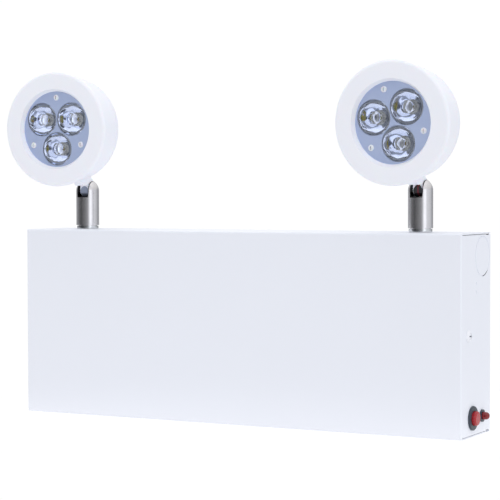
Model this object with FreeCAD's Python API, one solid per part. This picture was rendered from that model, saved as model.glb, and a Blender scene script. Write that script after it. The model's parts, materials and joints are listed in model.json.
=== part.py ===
import FreeCAD, Part
import math
import os

# Two-headed steel emergency light: a folded steel cabinet that holds the battery and the charger,
# with two swivelling lamp heads on fork stems above it, a test button and a pilot lamp on its end.
# Millimetres. +Z is up, +X is to the right seen from the front, and the front looks towards -Y.
# The origin is the centre of the wall face, so the wall is the plane y = 0.

V = FreeCAD.Vector

# ---------------------------------------------------------------- clearances
touch_gap = 0.1        # between fixed pieces that slide together, such as a screw in its hole
seat_gap = 0.2         # between a piece and the one that only steadies it
running_gap = 0.3      # between faces that turn or slide past each other
swivel_lift = 0.15     # under the stem's collar and over its nut, where the stem turns

# ---------------------------------------------------------------- cross recesses
recess_reach = 0.55    # of the head's radius
recess_width = 0.24
recess_floor = 0.45    # of the head's height

# ---------------------------------------------------------------- cabinet
cabinet_width = 322.2
cabinet_height = 127.0
cabinet_depth = 50.6
sheet = 0.9            # 20 gauge steel
bend_radius = 1.5      # outside of a fold
seam_gap = 0.35        # open seam between a side flange and the flange above or below it
relief_length = 5.0    # corner notches near the wall
relief_height = 1.3
relief_depth = 0.4     # from the cabinet's top or underside to a notch
relief_from_wall = 2.4
plate_gap = 0.3        # round the back plate
ear_height = 40.0      # side ears of the back plate, which take the cover screws
ear_from_front = 5.0

# ---------------------------------------------------------------- features of the right-hand end
cover_screw_from_front = 11.7
cover_screw_radius = 1.9
cover_screw_length = 7.0
cover_screw_head = 3.8
cover_screw_head_height = 2.2
knockout_radius = 12.5
knockout_from_wall = 14.1
knockout_below_top = 14.8
knockout_groove = 0.5
knockout_groove_depth = 0.3
knockout_slit_from = -86.0   # degrees, the part of the groove that is cut right through
knockout_slit_to = -45.0
dimple_radius = 1.0
dimple_depth = 0.25
dimple_from_front = 25.2
dimple_heights = (95.5, 90.2)   # above the underside

# ---------------------------------------------------------------- wall fixings in the back plate
wall_hole_radius = 2.5
wall_hole_spacing_x = 264.0
wall_hole_spacing_z = 84.0
box_slot_radius = 2.4
box_slot_length = 12.0
box_slot_spacing = 88.9      # 3 1/2 in junction box
keyhole_spacing = 200.0
keyhole_height = 46.0
keyhole_head_radius = 4.5
keyhole_slot_radius = 2.3
keyhole_slot_rise = 8.0
entry_radius = 11.1          # 1/2 in trade size knockout
entry_slits = ((-60.0, 60.0), (120.0, 240.0))   # degrees

# ---------------------------------------------------------------- stems
left_stem_inset = 34.3       # from the cabinet's left end
right_stem_inset = 37.4      # from the cabinet's right end
stem_radius = 7.95           # 5/8 in bar
stem_top = 34.4              # apex of the dome above the cabinet, before the slot is cut
collar_radius = 7.5
collar_height = 2.0
neck_radius = 6.6
neck_height = 0.5
shank_radius = 4.76          # 3/8 in thread
bore_radius = 3.4
stem_nut_flats = 14.0
stem_nut_height = 4.0
shank_tail = 2.0             # below the nut
slot_width = 8.4
slot_floor = 22.0            # above the cabinet

# ---------------------------------------------------------------- pivot and tongue
tongue_radius = 5.1
tongue_width = 6.6
tongue_shift = 0.5           # towards +X, because the friction washer lies on the other side
floor_gap = 0.4              # between the tongue and the floor of the slot
pivot_radius = 2.0
pivot_head_radius = 3.4
pivot_head_height = 1.4
pivot_end_wall = 1.2         # of the fork beyond the end of the screw
washer_radius = 4.5
washer_thickness = 0.8
tongue_wall = 0.6
pocket_end_wall = 2.9        # between the lead pocket and the tongue's other side
pocket_top = 2.8             # above the pivot
neck_front_depth = 25.5      # where the neck's lower edge meets the drum, behind its face
neck_front_drop = 34.3       # and below its axis
neck_back_depth = 31.5
neck_back_drop = 22.8

# ---------------------------------------------------------------- lamp head
head_forward = 43.0          # face of the head in front of the stem's axis
head_rise = 69.3             # axis of the head above the cabinet
head_radius = 38.4
head_depth = 32.0
head_taper = 7.5             # degrees
face_edge_radius = 2.4
back_edge_radius = 9.0
head_wall = 2.0
head_seam = 23.0             # behind the face, where the back cover starts
mouth_radius = 25.5
mouth_bevel = 1.5
mouth_bevel_depth = 2.6
lip_thickness = 3.3
spigot_wall = 1.6
left_pan = 3.0               # degrees, towards +X
right_pan = -2.0
left_tilt = -1.5             # degrees, upwards
right_tilt = -2.0

# ---------------------------------------------------------------- lamp module
plate_radius = 31.0
plate_thickness = 1.0
lens_radius = 11.1
lens_circle = 13.3
lens_proud = 0.2             # in front of the plate
lens_rim = 1.6
lens_length = 12.9
lens_foot_radius = 4.6
lens_belly_radius = 8.8
lens_belly_height = 4.7      # above the lamp board
lens_well_radius = 4.0
lens_well_depth = 3.0
lens_crown = 1.0             # rise of the ball surface in the well
lens_cup_radius = 3.2
lens_cup_depth = 4.6
left_lens_turn = 30.0        # degrees, first lens anticlockwise from +X seen from the front
right_lens_turn = 45.5
lens_count = 3
emitter_side = 4.0
emitter_height = 0.9
emitter_dome = 1.5
board_radius = 29.0
board_thickness = 1.6
sink_radius = 33.0
sink_thickness = 3.0
fin_height = 5.0
fin_thickness = 1.5
fin_pitch = 5.0
fin_reach = 27.0
post_radius = 3.6
post_circle = 18.0
post_angles = (90.0, 210.0, 330.0)
module_screw_radius = 1.25
module_screw_head = 2.0
module_screw_head_height = 1.1
module_screw_circle = 21.3
cover_bolt_radius = 1.5
cover_bolt_head = 2.9
cover_bolt_head_height = 1.7
cover_bolt_length = 7.0
notch_half_width = 4.0       # for the leads, in the heat sink and the lamp board
notch_from_axis = 23.0

# ---------------------------------------------------------------- leads
lamp_lead_radius = 0.7
lead_spread = 0.85           # each lamp lead from the middle of the tongue
lead_radius = 0.8
stem_lead_offset = 2.1       # from the stem's axis, towards the tongue's pocket
# in the tongue's pocket, forward of and above the pivot: a front pocket, and a rear one
front_lead_start = ((3.4, -2.6), (3.4, 1.8))
rear_lead_start = ((-3.4, -2.6), (-3.5, 1.2))
lead_bend_depth = 27.1       # behind the face, where the leads turn towards the notch
lead_from_notch = 2.6        # below the notch's edge
lead_on_board = 1.6          # of each lead's end above the notch's edge

# ---------------------------------------------------------------- test button and pilot lamp
button_from_front = 19.0
button_height = 11.9         # above the underside
bezel_radius = 7.6
bezel_thickness = 1.4
bezel_edge = 0.6
barrel_radius = 5.9
barrel_length = 8.0          # inside the cabinet's wall
plunger_radius = 4.5
plunger_proud = 4.0
plunger_edge = 0.9
button_travel = 1.8
switch_side = 12.4
switch_length = 12.0
switch_tab = 4.0
button_nut_flats = 14.0
button_nut_height = 2.4
pilot_from_front = 35.5
pilot_height = 11.7
pilot_radius = 2.4
pilot_dome_centre = 2.9      # outside the cabinet's wall
pilot_inside = 6.0
clip_radius = 3.9
clip_thickness = 1.0
clip_barrel_radius = 3.1
clip_length = 5.0

# ---------------------------------------------------------------- inside the cabinet
battery_left = -122.0
battery_bottom = -50.0
battery_length = 97.0
battery_thickness = 33.0
battery_width = 66.0
battery_edge = 2.0
terminal_width = 6.3
terminal_thickness = 0.8
terminal_length = 6.4
terminal_spacing = 46.0
strap_width = 22.0
strap_foot = 9.0
charger_left = 36.0
charger_bottom = -14.0
charger_width = 84.0
charger_height = 52.0
charger_thickness = 1.6
standoff_height = 8.0
standoff_radius = 2.6
standoff_inset = 5.0
chassis_screw_radius = 1.5
chassis_screw_head = 2.8
chassis_screw_head_height = 1.8
transformer_x = 66.0
transformer_z = -37.0
core_width = 48.0
core_height = 40.0           # away from the back plate
core_stack = 18.0
limb_width = 16.0
window_width = 8.0
window_height = 24.0
winding_overhang = 6.5
bracket_width = 14.0
bracket_foot = 8.0
board_screw_length = 6.0
relay_size = (19.0, 15.5, 15.0)
relay_at = (50.0, 16.0)      # middle of the relay on the charger board, x and z
capacitors = ((6.3, 22.0, 72.0, 10.0), (5.0, 12.5, 88.0, 8.0))   # radius, length, x, z
socket_size = (16.0, 12.0, 7.0)   # width, height, depth
socket_at = (104.0, 26.0)
terminal_block_size = (16.0, 12.0, 12.0)
terminal_block_at = (22.0, -24.0)
well_radius = 2.2
ground_screw_at = (22.0, 20.0)
ground_screw_radius = 2.0
ground_screw_head = 4.0
ground_screw_head_height = 2.5
clip_places = (-85.0, -25.0)   # wire clips along the back plate
clip_block = (6.0, 6.4, 8.0)
run_height = 33.0            # of the left head's leads along the back plate
run_spread = 1.3             # each of the two from the middle
run_y = -4.6
lead_drop = 6.0              # straight length at a lead's end
lead_stagger = 1.5           # between the two leads of the right head, from their mean height
over_board = 16.0            # of the leads that pass in front of the charger board
battery_pads = ((48.0, 3.0), (48.0, -5.0))
switch_pads = ((112.0, -2.0), (106.0, -7.0))
pilot_pads = ((112.0, 6.0), (106.0, 1.0))
secondary_pads = ((80.0, -8.0), (74.0, -8.0))
primary_x = (52.0, 57.0)
coil_y = -21.0
coil_rise = 7.0

# ---------------------------------------------------------------- places that follow
half_width = cabinet_width / 2
half_height = cabinet_height / 2
stem_y = -cabinet_depth / 2
pivot_height = slot_floor + floor_gap + tongue_radius
head_axis = head_rise - pivot_height
face_y = -head_forward
module_front = lip_thickness
board_front = module_front - lens_proud + lens_length
sink_front = board_front + board_thickness
sink_back = sink_front + sink_thickness
cover_inside = head_depth - head_wall
neck_front = (head_forward - neck_front_depth, head_axis - neck_front_drop)
neck_back = (head_forward - neck_back_depth, head_axis - neck_back_drop)
lead_front = head_forward - board_front + lamp_lead_radius + touch_gap
lead_height = head_axis - notch_from_axis - lead_from_notch
head_lead_route = ((head_forward - lead_bend_depth, lead_height), (lead_front, lead_height),
                   (lead_front, head_axis - notch_from_axis + lead_on_board))
plate_front = -sheet
button_y = -cabinet_depth + button_from_front
button_z = -half_height + button_height
pilot_y = -cabinet_depth + pilot_from_front
pilot_z = -half_height + pilot_height


# ================================================================ shape helpers
def box(x0, x1, y0, y1, z0, z1):
    """A block between two values on each axis."""
    return Part.makeBox(x1 - x0, y1 - y0, z1 - z0, V(x0, y0, z0))


def rod(radius, start, end):
    """A round bar from one point to another."""
    along = end - start
    return Part.makeCylinder(radius, along.Length, start, along)


def cone(start_radius, end_radius, start, end):
    """A cone between two points."""
    along = end - start
    return Part.makeCone(start_radius, end_radius, along.Length, start, along)


def tube(outer, inner, start, end):
    """A round bar with a hole along it."""
    return rod(outer, start, end).cut(rod(inner, start, end))


def joined(shapes):
    """One solid made of shapes that meet."""
    first = shapes[0]
    return first.multiFuse(shapes[1:]).removeSplitter()


def cut_all(shape, tools):
    """The shape without any of the tools."""
    return shape.cut(Part.makeCompound(tools))


def open_lines(points):
    """Straight edges from point to point."""
    return [Part.makeLine(a, b) for a, b in zip(points, points[1:])]


def crown(radius, base, rise):
    """The arc of a ball-shaped crown, from its rim to the Z axis."""
    ball = (radius ** 2 + rise ** 2) / (2 * rise)
    middle = base + rise - ball
    half = math.acos((ball - rise) / ball) / 2
    return Part.Arc(V(radius, 0, base), V(ball * math.sin(half), 0, middle + ball * math.cos(half)),
                    V(0, 0, base + rise)).toShape()


def turned(edges):
    """A solid turned about the Z axis from a closed chain of edges."""
    face = Part.Face(Part.Wire(Part.__sortEdges__(edges)))
    return face.revolve(V(0, 0, 0), V(0, 0, 1), 360)


def prism(points, along):
    """A straight extrusion of a closed outline."""
    return Part.Face(Part.makePolygon(points + points[:1])).extrude(along)


def hexagon(across_flats, start, end):
    """A hexagonal bar from one point to another."""
    along = end - start
    side = V(0, 0, 1).cross(along)
    if side.Length < touch_gap:
        side = V(1, 0, 0)
    corner = side.normalize() * (across_flats / math.sqrt(3))
    spin = FreeCAD.Rotation
    points = [start + spin(along, 60 * i).multVec(corner) for i in range(6)]
    return prism(points, along)


def rounded(shape, radius, wanted):
    """The shape with the wanted edges rounded."""
    return shape.makeFillet(radius, [edge for edge in shape.Edges if wanted(edge)])


def circle_edge_at(axis_value, axis_name):
    """A test for edges that lie whole in one plane across an axis."""
    def test(edge):
        low = getattr(edge.BoundBox, axis_name + "Min")
        high = getattr(edge.BoundBox, axis_name + "Max")
        return abs(low - axis_value) < touch_gap and abs(high - axis_value) < touch_gap
    return test


def placed(shape, origin, direction):
    """A shape built along +Z, turned to point along a direction and moved to a point."""
    copy = shape.copy()
    copy.Placement = FreeCAD.Placement(origin, FreeCAD.Rotation(V(0, 0, 1), direction))
    return copy


def dome_screw(shank, shank_length, rim, head_height):
    """A round-head screw along +Z with its head's underside at the origin and a cross recess."""
    outline = [V(0, 0, head_height), V(0, 0, 0), V(rim, 0, 0)]
    head = turned([crown(rim, 0, head_height)] + open_lines(outline))
    reach = rim * recess_reach
    half = rim * recess_width / 2
    low = head_height * recess_floor
    cross = box(-reach, reach, -half, half, low, head_height + 1)
    cross = cross.fuse(box(-half, half, -reach, reach, low, head_height + 1))
    return joined([head.cut(cross), rod(shank, V(0, 0, -shank_length), V(0, 0, 0))])


def lead(points, radius):
    """A round wire along straight runs joined by the largest arcs that fit its corners."""
    edges = []
    here = points[0]
    for before, corner, after in zip(points, points[1:], points[2:]):
        back = before - corner
        onward = after - corner
        reach = 0.45 * min(back.Length, onward.Length)
        start = corner + back.normalize() * reach
        end = corner + onward.normalize() * reach
        half_angle = back.getAngle(onward) / 2
        to_middle = (back + onward).normalize()
        bend = reach * math.tan(half_angle)
        middle = corner + to_middle * (reach / math.cos(half_angle) - bend)
        edges.append(Part.makeLine(here, start))
        edges.append(Part.Arc(start, middle, end).toShape())
        here = end
    edges.append(Part.makeLine(here, points[-1]))
    path = Part.Wire(edges)
    section = Part.Wire(Part.makeCircle(radius, points[0], points[1] - points[0]))
    return path.makePipeShell([section], True, False)


def write(name, solids):
    """Write one node."""
    shape = solids[0] if len(solids) == 1 else Part.makeCompound(solids)
    shape.exportStep(os.path.join("parts", name + ".step"))


# ================================================================ cabinet
def tray_block(width, height, front, edge_radius):
    """A block up to the wall with its four front edges rounded."""
    block = box(-width / 2, width / 2, front, 0, -height / 2, height / 2)
    return rounded(block, edge_radius, circle_edge_at(front, "Y"))


def knockout(centre, radius, outward, slits):
    """What is cut from a wall to mark a knockout: a groove, and slits right through it."""
    inner = radius - knockout_groove / 2
    outer = radius + knockout_groove / 2
    floor = centre - outward * knockout_groove_depth
    groove = tube(outer, inner, floor, centre + outward)
    ring = tube(outer, inner, centre - outward * 2 * sheet, centre + outward)
    cuts = [groove]
    for start, end in slits:
        sector = Part.makeCylinder(outer + 1, 3 * sheet, V(0, 0, 0), V(0, 0, 1), end - start)
        sector.rotate(V(0, 0, 0), V(0, 0, 1), start)
        # the sector's flat side is turned from the XY plane into the wall's own plane
        if abs(outward.x) > abs(outward.y):
            sector.Placement = FreeCAD.Placement(
                V(centre.x - 2 * sheet, centre.y, centre.z),
                FreeCAD.Rotation(V(0, 1, 0), V(0, 0, 1), V(1, 0, 0))).multiply(sector.Placement)
        else:
            sector.Placement = FreeCAD.Placement(
                V(centre.x, centre.y + sheet, centre.z),
                FreeCAD.Rotation(V(1, 0, 0), V(0, 0, 1), V(0, -1, 0))).multiply(sector.Placement)
        cuts.append(ring.common(sector))
    return cuts


def front_cover():
    """The folded cover: front, top, underside and both ends in one sheet."""
    outside = tray_block(cabinet_width, cabinet_height, -cabinet_depth, bend_radius)
    inner_front = -cabinet_depth + sheet
    inside = tray_block(cabinet_width - 2 * sheet, cabinet_height - 2 * sheet, inner_front,
                        bend_radius - sheet)
    cover = outside.cut(inside)
    cuts = []
    fold = -cabinet_depth + bend_radius
    for end in (-1, 1):
        wall = sorted((end * (half_width - sheet), end * (half_width + sheet)))
        for rim in (-1, 1):
            seam = sorted((rim * (half_height - sheet), rim * (half_height - sheet - seam_gap)))
            cuts.append(box(*wall, fold, sheet, *seam))
            relief_start = half_height - relief_depth
            relief = sorted((rim * relief_start, rim * (relief_start - relief_height)))
            back = -relief_from_wall
            cuts.append(box(*wall, back - relief_length, back, *relief))
        screw_y = -cabinet_depth + cover_screw_from_front
        hole = cover_screw_radius + touch_gap
        cuts.append(rod(hole, V(wall[0], screw_y, 0), V(wall[1], screw_y, 0)))
    for stem_x in (left_stem_x, right_stem_x):
        cuts.append(rod(shank_radius + running_gap, V(stem_x, stem_y, half_height - 2 * sheet),
                        V(stem_x, stem_y, half_height + sheet)))
    across = (half_width - 2 * sheet, half_width + sheet)
    for radius, y, z in ((barrel_radius, button_y, button_z),
                         (clip_barrel_radius, pilot_y, pilot_z)):
        cuts.append(rod(radius + touch_gap, V(across[0], y, z), V(across[1], y, z)))
    cuts += knockout(V(half_width, -knockout_from_wall, half_height - knockout_below_top),
                     knockout_radius, V(1, 0, 0), ((knockout_slit_from, knockout_slit_to),))
    for height in dimple_heights:
        y = -cabinet_depth + dimple_from_front
        z = -half_height + height
        cuts.append(rod(dimple_radius, V(half_width - dimple_depth, y, z),
                        V(half_width + sheet, y, z)))
    return cut_all(cover, cuts)


def back_plate():
    """The wall plate, with an ear folded forward at each end for the cover screws."""
    plate_x = half_width - sheet - plate_gap
    plate_z = half_height - sheet - plate_gap
    half_ear = ear_height / 2
    ear_front = -cabinet_depth + ear_from_front
    plate = box(-plate_x, plate_x, plate_front, 0, -plate_z, plate_z)
    cleared = []
    for end in (-1, 1):
        span = sorted((end * (plate_x - bend_radius), end * (plate_x + sheet)))
        cleared.append(box(*span, -bend_radius, sheet, -half_ear, half_ear))
    outer = box(-plate_x, plate_x, ear_front, 0, -half_ear, half_ear)
    outer = rounded(outer, bend_radius, lambda edge: edge_runs_up(edge, 0))
    inner = box(-plate_x + sheet, plate_x - sheet, ear_front - sheet, plate_front,
                -half_ear, half_ear)
    inner = rounded(inner, bend_radius - sheet, lambda edge: edge_runs_up(edge, plate_front))
    plate = joined([cut_all(plate, cleared), outer.cut(inner)])
    front = -2 * sheet
    back = sheet
    cuts = []
    for x in (-wall_hole_spacing_x / 2, wall_hole_spacing_x / 2):
        for z in (-wall_hole_spacing_z / 2, wall_hole_spacing_z / 2):
            cuts.append(rod(wall_hole_radius, V(x, front, z), V(x, back, z)))
    half_slot = box_slot_length / 2 - box_slot_radius
    for middle in (-box_slot_spacing / 2, box_slot_spacing / 2):
        cuts.append(slot_cut(box_slot_radius, 0, middle - half_slot, middle + half_slot))
    for x in (-keyhole_spacing / 2, keyhole_spacing / 2):
        cuts.append(rod(keyhole_head_radius, V(x, front, keyhole_height),
                        V(x, back, keyhole_height)))
        cuts.append(slot_cut(keyhole_slot_radius, x, keyhole_height,
                             keyhole_height + keyhole_slot_rise))
    for x, z in strap_screw_places() + bracket_screw_places():
        hole = chassis_screw_radius + touch_gap
        cuts.append(rod(hole, V(x, front, z), V(x, back, z)))
    ground_x, ground_z = ground_screw_at
    cuts.append(rod(ground_screw_radius + touch_gap, V(ground_x, front, ground_z),
                    V(ground_x, back, ground_z)))
    screw_y = -cabinet_depth + cover_screw_from_front
    cuts.append(rod(cover_screw_radius + touch_gap, V(-half_width, screw_y, 0),
                    V(half_width, screw_y, 0)))
    cuts += knockout(V(0, plate_front, 0), entry_radius, V(0, -1, 0), entry_slits)
    return cut_all(plate, cuts)


def edge_runs_up(edge, y):
    """Whether an edge is upright and lies at a given y."""
    bounds = edge.BoundBox
    upright = bounds.ZLength > bounds.XLength + bounds.YLength
    return upright and abs(bounds.YMin - y) < touch_gap


def slot_cut(radius, x, low, high):
    """An upright slot through the back plate."""
    front = -2 * sheet
    ends = [rod(radius, V(x, front, z), V(x, sheet, z)) for z in (low, high)]
    return joined(ends + [box(x - radius, x + radius, front, sheet, low, high)])


def cover_screws():
    """The two white screws that hold the cover to the ears."""
    screw = dome_screw(cover_screw_radius, cover_screw_length, cover_screw_head,
                       cover_screw_head_height)
    y = -cabinet_depth + cover_screw_from_front
    return [placed(screw, V(end * half_width, y, 0), V(end, 0, 0)) for end in (-1, 1)]


# ================================================================ stems
def stem_parts():
    """The fork stem, its collar and its nut, built at the origin with z = 0 on the cabinet."""
    shoulder = swivel_lift + collar_height
    tube_start = shoulder + neck_height
    dome_start = stem_top - stem_radius
    dome = crown(stem_radius, dome_start, stem_radius)
    nut_top = -sheet - swivel_lift
    tail = stem_tail
    outline = [V(stem_radius, 0, dome_start), V(stem_radius, 0, tube_start),
               V(neck_radius, 0, tube_start), V(neck_radius, 0, shoulder),
               V(shank_radius, 0, shoulder), V(shank_radius, 0, tail), V(0, 0, tail),
               V(0, 0, stem_top)]
    stem = turned([dome] + open_lines(outline))
    half_slot = slot_width / 2
    wide = 2 * stem_radius
    slot = box(-half_slot, half_slot, -wide, wide, slot_floor, stem_top + 1)
    bore = rod(bore_radius, V(0, 0, tail - 1), V(0, 0, slot_floor + 1))
    hole_end = stem_radius - pivot_end_wall + touch_gap
    pivot_hole = rod(pivot_radius + touch_gap, V(-stem_radius, 0, pivot_height),
                     V(hole_end, 0, pivot_height))
    head_out = -pivot_head_face()
    head_in = head_out + pivot_head_height
    sink = cone(pivot_head_radius + touch_gap, pivot_radius + touch_gap,
                V(head_out, 0, pivot_height), V(head_in, 0, pivot_height))
    clear = rod(pivot_head_radius + touch_gap, V(-stem_radius - 1, 0, pivot_height),
                V(head_out, 0, pivot_height))
    stem = cut_all(stem, [slot, bore, pivot_hole, sink, clear])
    collar = tube(collar_radius, shank_radius + touch_gap, V(0, 0, swivel_lift),
                  V(0, 0, shoulder))
    nut = hexagon(stem_nut_flats, V(0, 0, nut_top - stem_nut_height), V(0, 0, nut_top))
    nut = nut.cut(rod(shank_radius + touch_gap, V(0, 0, tail), V(0, 0, 0)))
    return stem, collar, nut


def pivot_head_face():
    """How far the pivot screw's flat head lies from the stem's axis, just under the dome."""
    head_top = pivot_height + pivot_head_radius - (stem_top - stem_radius)
    return math.sqrt(stem_radius ** 2 - head_top ** 2) - touch_gap


def pivot_screw():
    """The countersunk screw that the head tilts on."""
    z = pivot_height
    out = -pivot_head_face()
    inner = out + pivot_head_height
    end = stem_radius - pivot_end_wall
    head = cone(pivot_head_radius, pivot_radius, V(out, 0, z), V(inner, 0, z))
    drive = hexagon(pivot_radius, V(out - 1, 0, z), V(out + pivot_head_height / 2, 0, z))
    return joined([head.cut(drive), rod(pivot_radius, V(inner, 0, z), V(end, 0, z))])


def friction_washer():
    """The washer that keeps the head stiff, between the fork's left arm and the tongue."""
    start = -slot_width / 2 + running_gap
    return tube(washer_radius, pivot_radius + touch_gap, V(start, 0, pivot_height),
                V(start + washer_thickness, 0, pivot_height))


def stem_leads(side):
    """The two leads down the stem's bore, in front of its axis or behind it."""
    top = slot_floor - touch_gap
    y = side * stem_lead_offset
    return [rod(lamp_lead_radius, V(x, y, stem_tail), V(x, y, top)) for x in lead_places()]


def lead_places():
    """Where the red and the black lamp lead lie across the tongue."""
    return (tongue_shift + lead_spread, tongue_shift - lead_spread)


# ================================================================ lamp heads
# Each head is built at its pivot, looking along -Y, and then tilted, turned and moved.
def head_point(depth, radius, angle):
    """A point by its depth behind the face and its place round the head's axis."""
    turn = math.radians(angle)
    return V(radius * math.cos(turn), face_y + depth, head_axis + radius * math.sin(turn))


def on_axis(depth):
    """A point on the head's axis."""
    return V(0, face_y + depth, head_axis)


def drum(radius, front, back, front_edge, back_edge):
    """The head's tapered drum between two depths, with its edges rounded."""
    shrink = math.tan(math.radians(head_taper))
    solid = cone(radius - front * shrink, radius - back * shrink, on_axis(front), on_axis(back))
    if front_edge:
        solid = rounded(solid, front_edge, circle_edge_at(face_y + front, "Y"))
    return rounded(solid, back_edge, circle_edge_at(face_y + back, "Y"))


def drum_outside():
    return drum(head_radius, 0, head_depth, face_edge_radius, back_edge_radius)


def drum_inside():
    return drum(head_radius - head_wall, lip_thickness, cover_inside, 0,
                back_edge_radius - head_wall)


def behind_seam():
    """All the space behind the seam between the shell and the back cover."""
    size = 3 * head_radius
    seam = face_y + head_seam
    return box(-size, size, seam, seam + size, -size, size)


def lamp_shell():
    """The moulded front shell: the face ring and most of the drum."""
    bevel = cone(mouth_radius + mouth_bevel, mouth_radius, on_axis(0), on_axis(mouth_bevel_depth))
    mouth = rod(mouth_radius, on_axis(0), on_axis(lip_thickness + 1))
    return cut_all(drum_outside(), [drum_inside(), bevel, mouth, behind_seam()])


def tongue_span():
    """The tongue's two faces across the fork."""
    return (tongue_shift - tongue_width / 2, tongue_shift + tongue_width / 2)


def lead_route(side):
    """The leads' route by points forward of and above the pivot."""
    return (front_lead_start if side < 0 else rear_lead_start) + head_lead_route


def channel(start, end, half_thickness, low_x, high_x):
    """A flat channel with round ends between two points forward of and above the pivot."""
    across = V(high_x - low_x, 0, 0)
    start = V(low_x, -start[0], start[1])
    end = V(low_x, -end[0], end[1])
    edge = (end - start).cross(V(1, 0, 0)).normalize() * half_thickness
    sides = [start + edge, end + edge, end - edge, start - edge]
    return [prism(sides, across), rod(half_thickness, start, start + across),
            rod(half_thickness, end, end + across)]


def back_cover(side):
    """The moulded back of the head, in one piece with the hollow tongue that it tilts on.

    The tongue's pocket opens to the front where side is -1 and to the back where it is 1.
    """
    low, high = tongue_span()
    width = V(high - low, 0, 0)
    knuckle = rod(tongue_radius, V(low, 0, 0), V(high, 0, 0))
    front = V(low, -neck_front[0], neck_front[1])
    back = V(low, -neck_back[0], neck_back[1])
    neck = prism([tangent_point(front, low, 1), front, back, tangent_point(back, low, -1)], width)
    body = joined([drum_outside(), knuckle, neck])
    body = body.common(behind_seam()).cut(drum_inside())
    shrink = math.tan(math.radians(head_taper))
    spigot_radius = head_radius - head_wall - head_seam * shrink - touch_gap
    spigot = tube(spigot_radius, spigot_radius - spigot_wall, on_axis(sink_back + seat_gap),
                  on_axis(head_seam + back_edge_radius / 2 - head_wall / 2))
    body = joined([body, spigot])
    pocket_low = low + tongue_wall
    pocket_high = high - tongue_wall
    arch = (pocket_high - pocket_low) / 2
    pocket_end = -side * (tongue_radius - pocket_end_wall)
    pocket_mouth = side * 2 * tongue_radius
    near = min(pocket_end, pocket_mouth)
    far = max(pocket_end, pocket_mouth)
    spring = pocket_top - arch
    cuts = [rod(arch, V(tongue_shift, near, spring), V(tongue_shift, far, spring)),
            box(pocket_low, pocket_high, near, far, -2 * tongue_radius, spring),
            rod(pivot_radius + touch_gap, V(low - 1, 0, 0), V(high + 1, 0, 0))]
    half_channel = lead_spread + lamp_lead_radius + touch_gap
    channel_start, channel_end = lead_route(side)[1:3]
    cuts += channel(channel_start, channel_end, lamp_lead_radius + running_gap,
                    tongue_shift - half_channel, tongue_shift + half_channel)
    for angle in post_angles:
        cuts.append(rod(cover_bolt_radius + touch_gap,
                        head_point(cover_inside - 1, post_circle, angle),
                        head_point(head_depth + 1, post_circle, angle)))
    return cut_all(body, cuts)


def tangent_point(outside, x, side):
    """Where a line from a point touches the tongue's round end, on its front or back."""
    distance = math.hypot(outside.y, outside.z)
    towards = math.atan2(outside.z, outside.y)
    angle = towards + side * math.acos(tongue_radius / distance)
    return V(x, tongue_radius * math.cos(angle), tongue_radius * math.sin(angle))


def lens_angles(turn):
    return [turn + i * 360 / lens_count for i in range(lens_count)]


def module_screw_angles(turn):
    return [angle + 180 / lens_count for angle in lens_angles(turn)]


def face_plate(turn):
    """The silver plate round the lenses."""
    plate = rod(plate_radius, on_axis(module_front), on_axis(module_front + plate_thickness))
    front = module_front - 1
    back = module_front + plate_thickness + 1
    cuts = [rod(lens_radius + touch_gap, head_point(front, lens_circle, angle),
                head_point(back, lens_circle, angle)) for angle in lens_angles(turn)]
    cuts += [rod(module_screw_radius + touch_gap,
                 head_point(front, module_screw_circle, angle),
                 head_point(back, module_screw_circle, angle))
             for angle in module_screw_angles(turn)]
    return cut_all(plate, cuts)


def lens():
    """One collimating lens along +Z, its foot on the lamp board at the origin."""
    top = lens_length
    rim = top - lens_rim
    foot = V(lens_foot_radius, 0, 0)
    shoulder = V(lens_radius, 0, rim)
    belly = V(lens_belly_radius, 0, lens_belly_height)
    wall = Part.Arc(foot, belly, shoulder).toShape()
    well = top - lens_well_depth
    corners = [shoulder, V(lens_radius, 0, top), V(lens_well_radius, 0, top),
               V(lens_well_radius, 0, well)]
    below = [V(0, 0, well + lens_crown), V(0, 0, lens_cup_depth),
             V(lens_cup_radius, 0, lens_cup_depth), V(lens_cup_radius, 0, 0), foot]
    return turned([wall, crown(lens_well_radius, well, lens_crown)]
                  + open_lines(corners) + open_lines(below))


def emitter():
    """One lamp chip along +Z, on the lamp board at the origin."""
    half = emitter_side / 2
    base = box(-half, half, -half, half, 0, emitter_height)
    dome = Part.makeSphere(emitter_dome, V(0, 0, emitter_height), V(0, 0, 1), 0, 90, 360)
    return joined([base, dome])


def notch(depth_from, depth_to):
    """The gap at the bottom of the lamp board and the heat sink where the leads pass."""
    low = head_axis - 2 * sink_radius
    return box(tongue_shift - notch_half_width, tongue_shift + notch_half_width,
               face_y + depth_from - 1, face_y + depth_to + 1, low, head_axis - notch_from_axis)


def lamp_board(turn):
    """The round circuit board that carries the three chips."""
    board = rod(board_radius, on_axis(board_front), on_axis(sink_front))
    cuts = [rod(module_screw_radius + touch_gap,
                head_point(board_front - 1, module_screw_circle, angle),
                head_point(sink_front + 1, module_screw_circle, angle))
            for angle in module_screw_angles(turn)]
    return cut_all(board, cuts + [notch(board_front, sink_front)])


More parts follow.
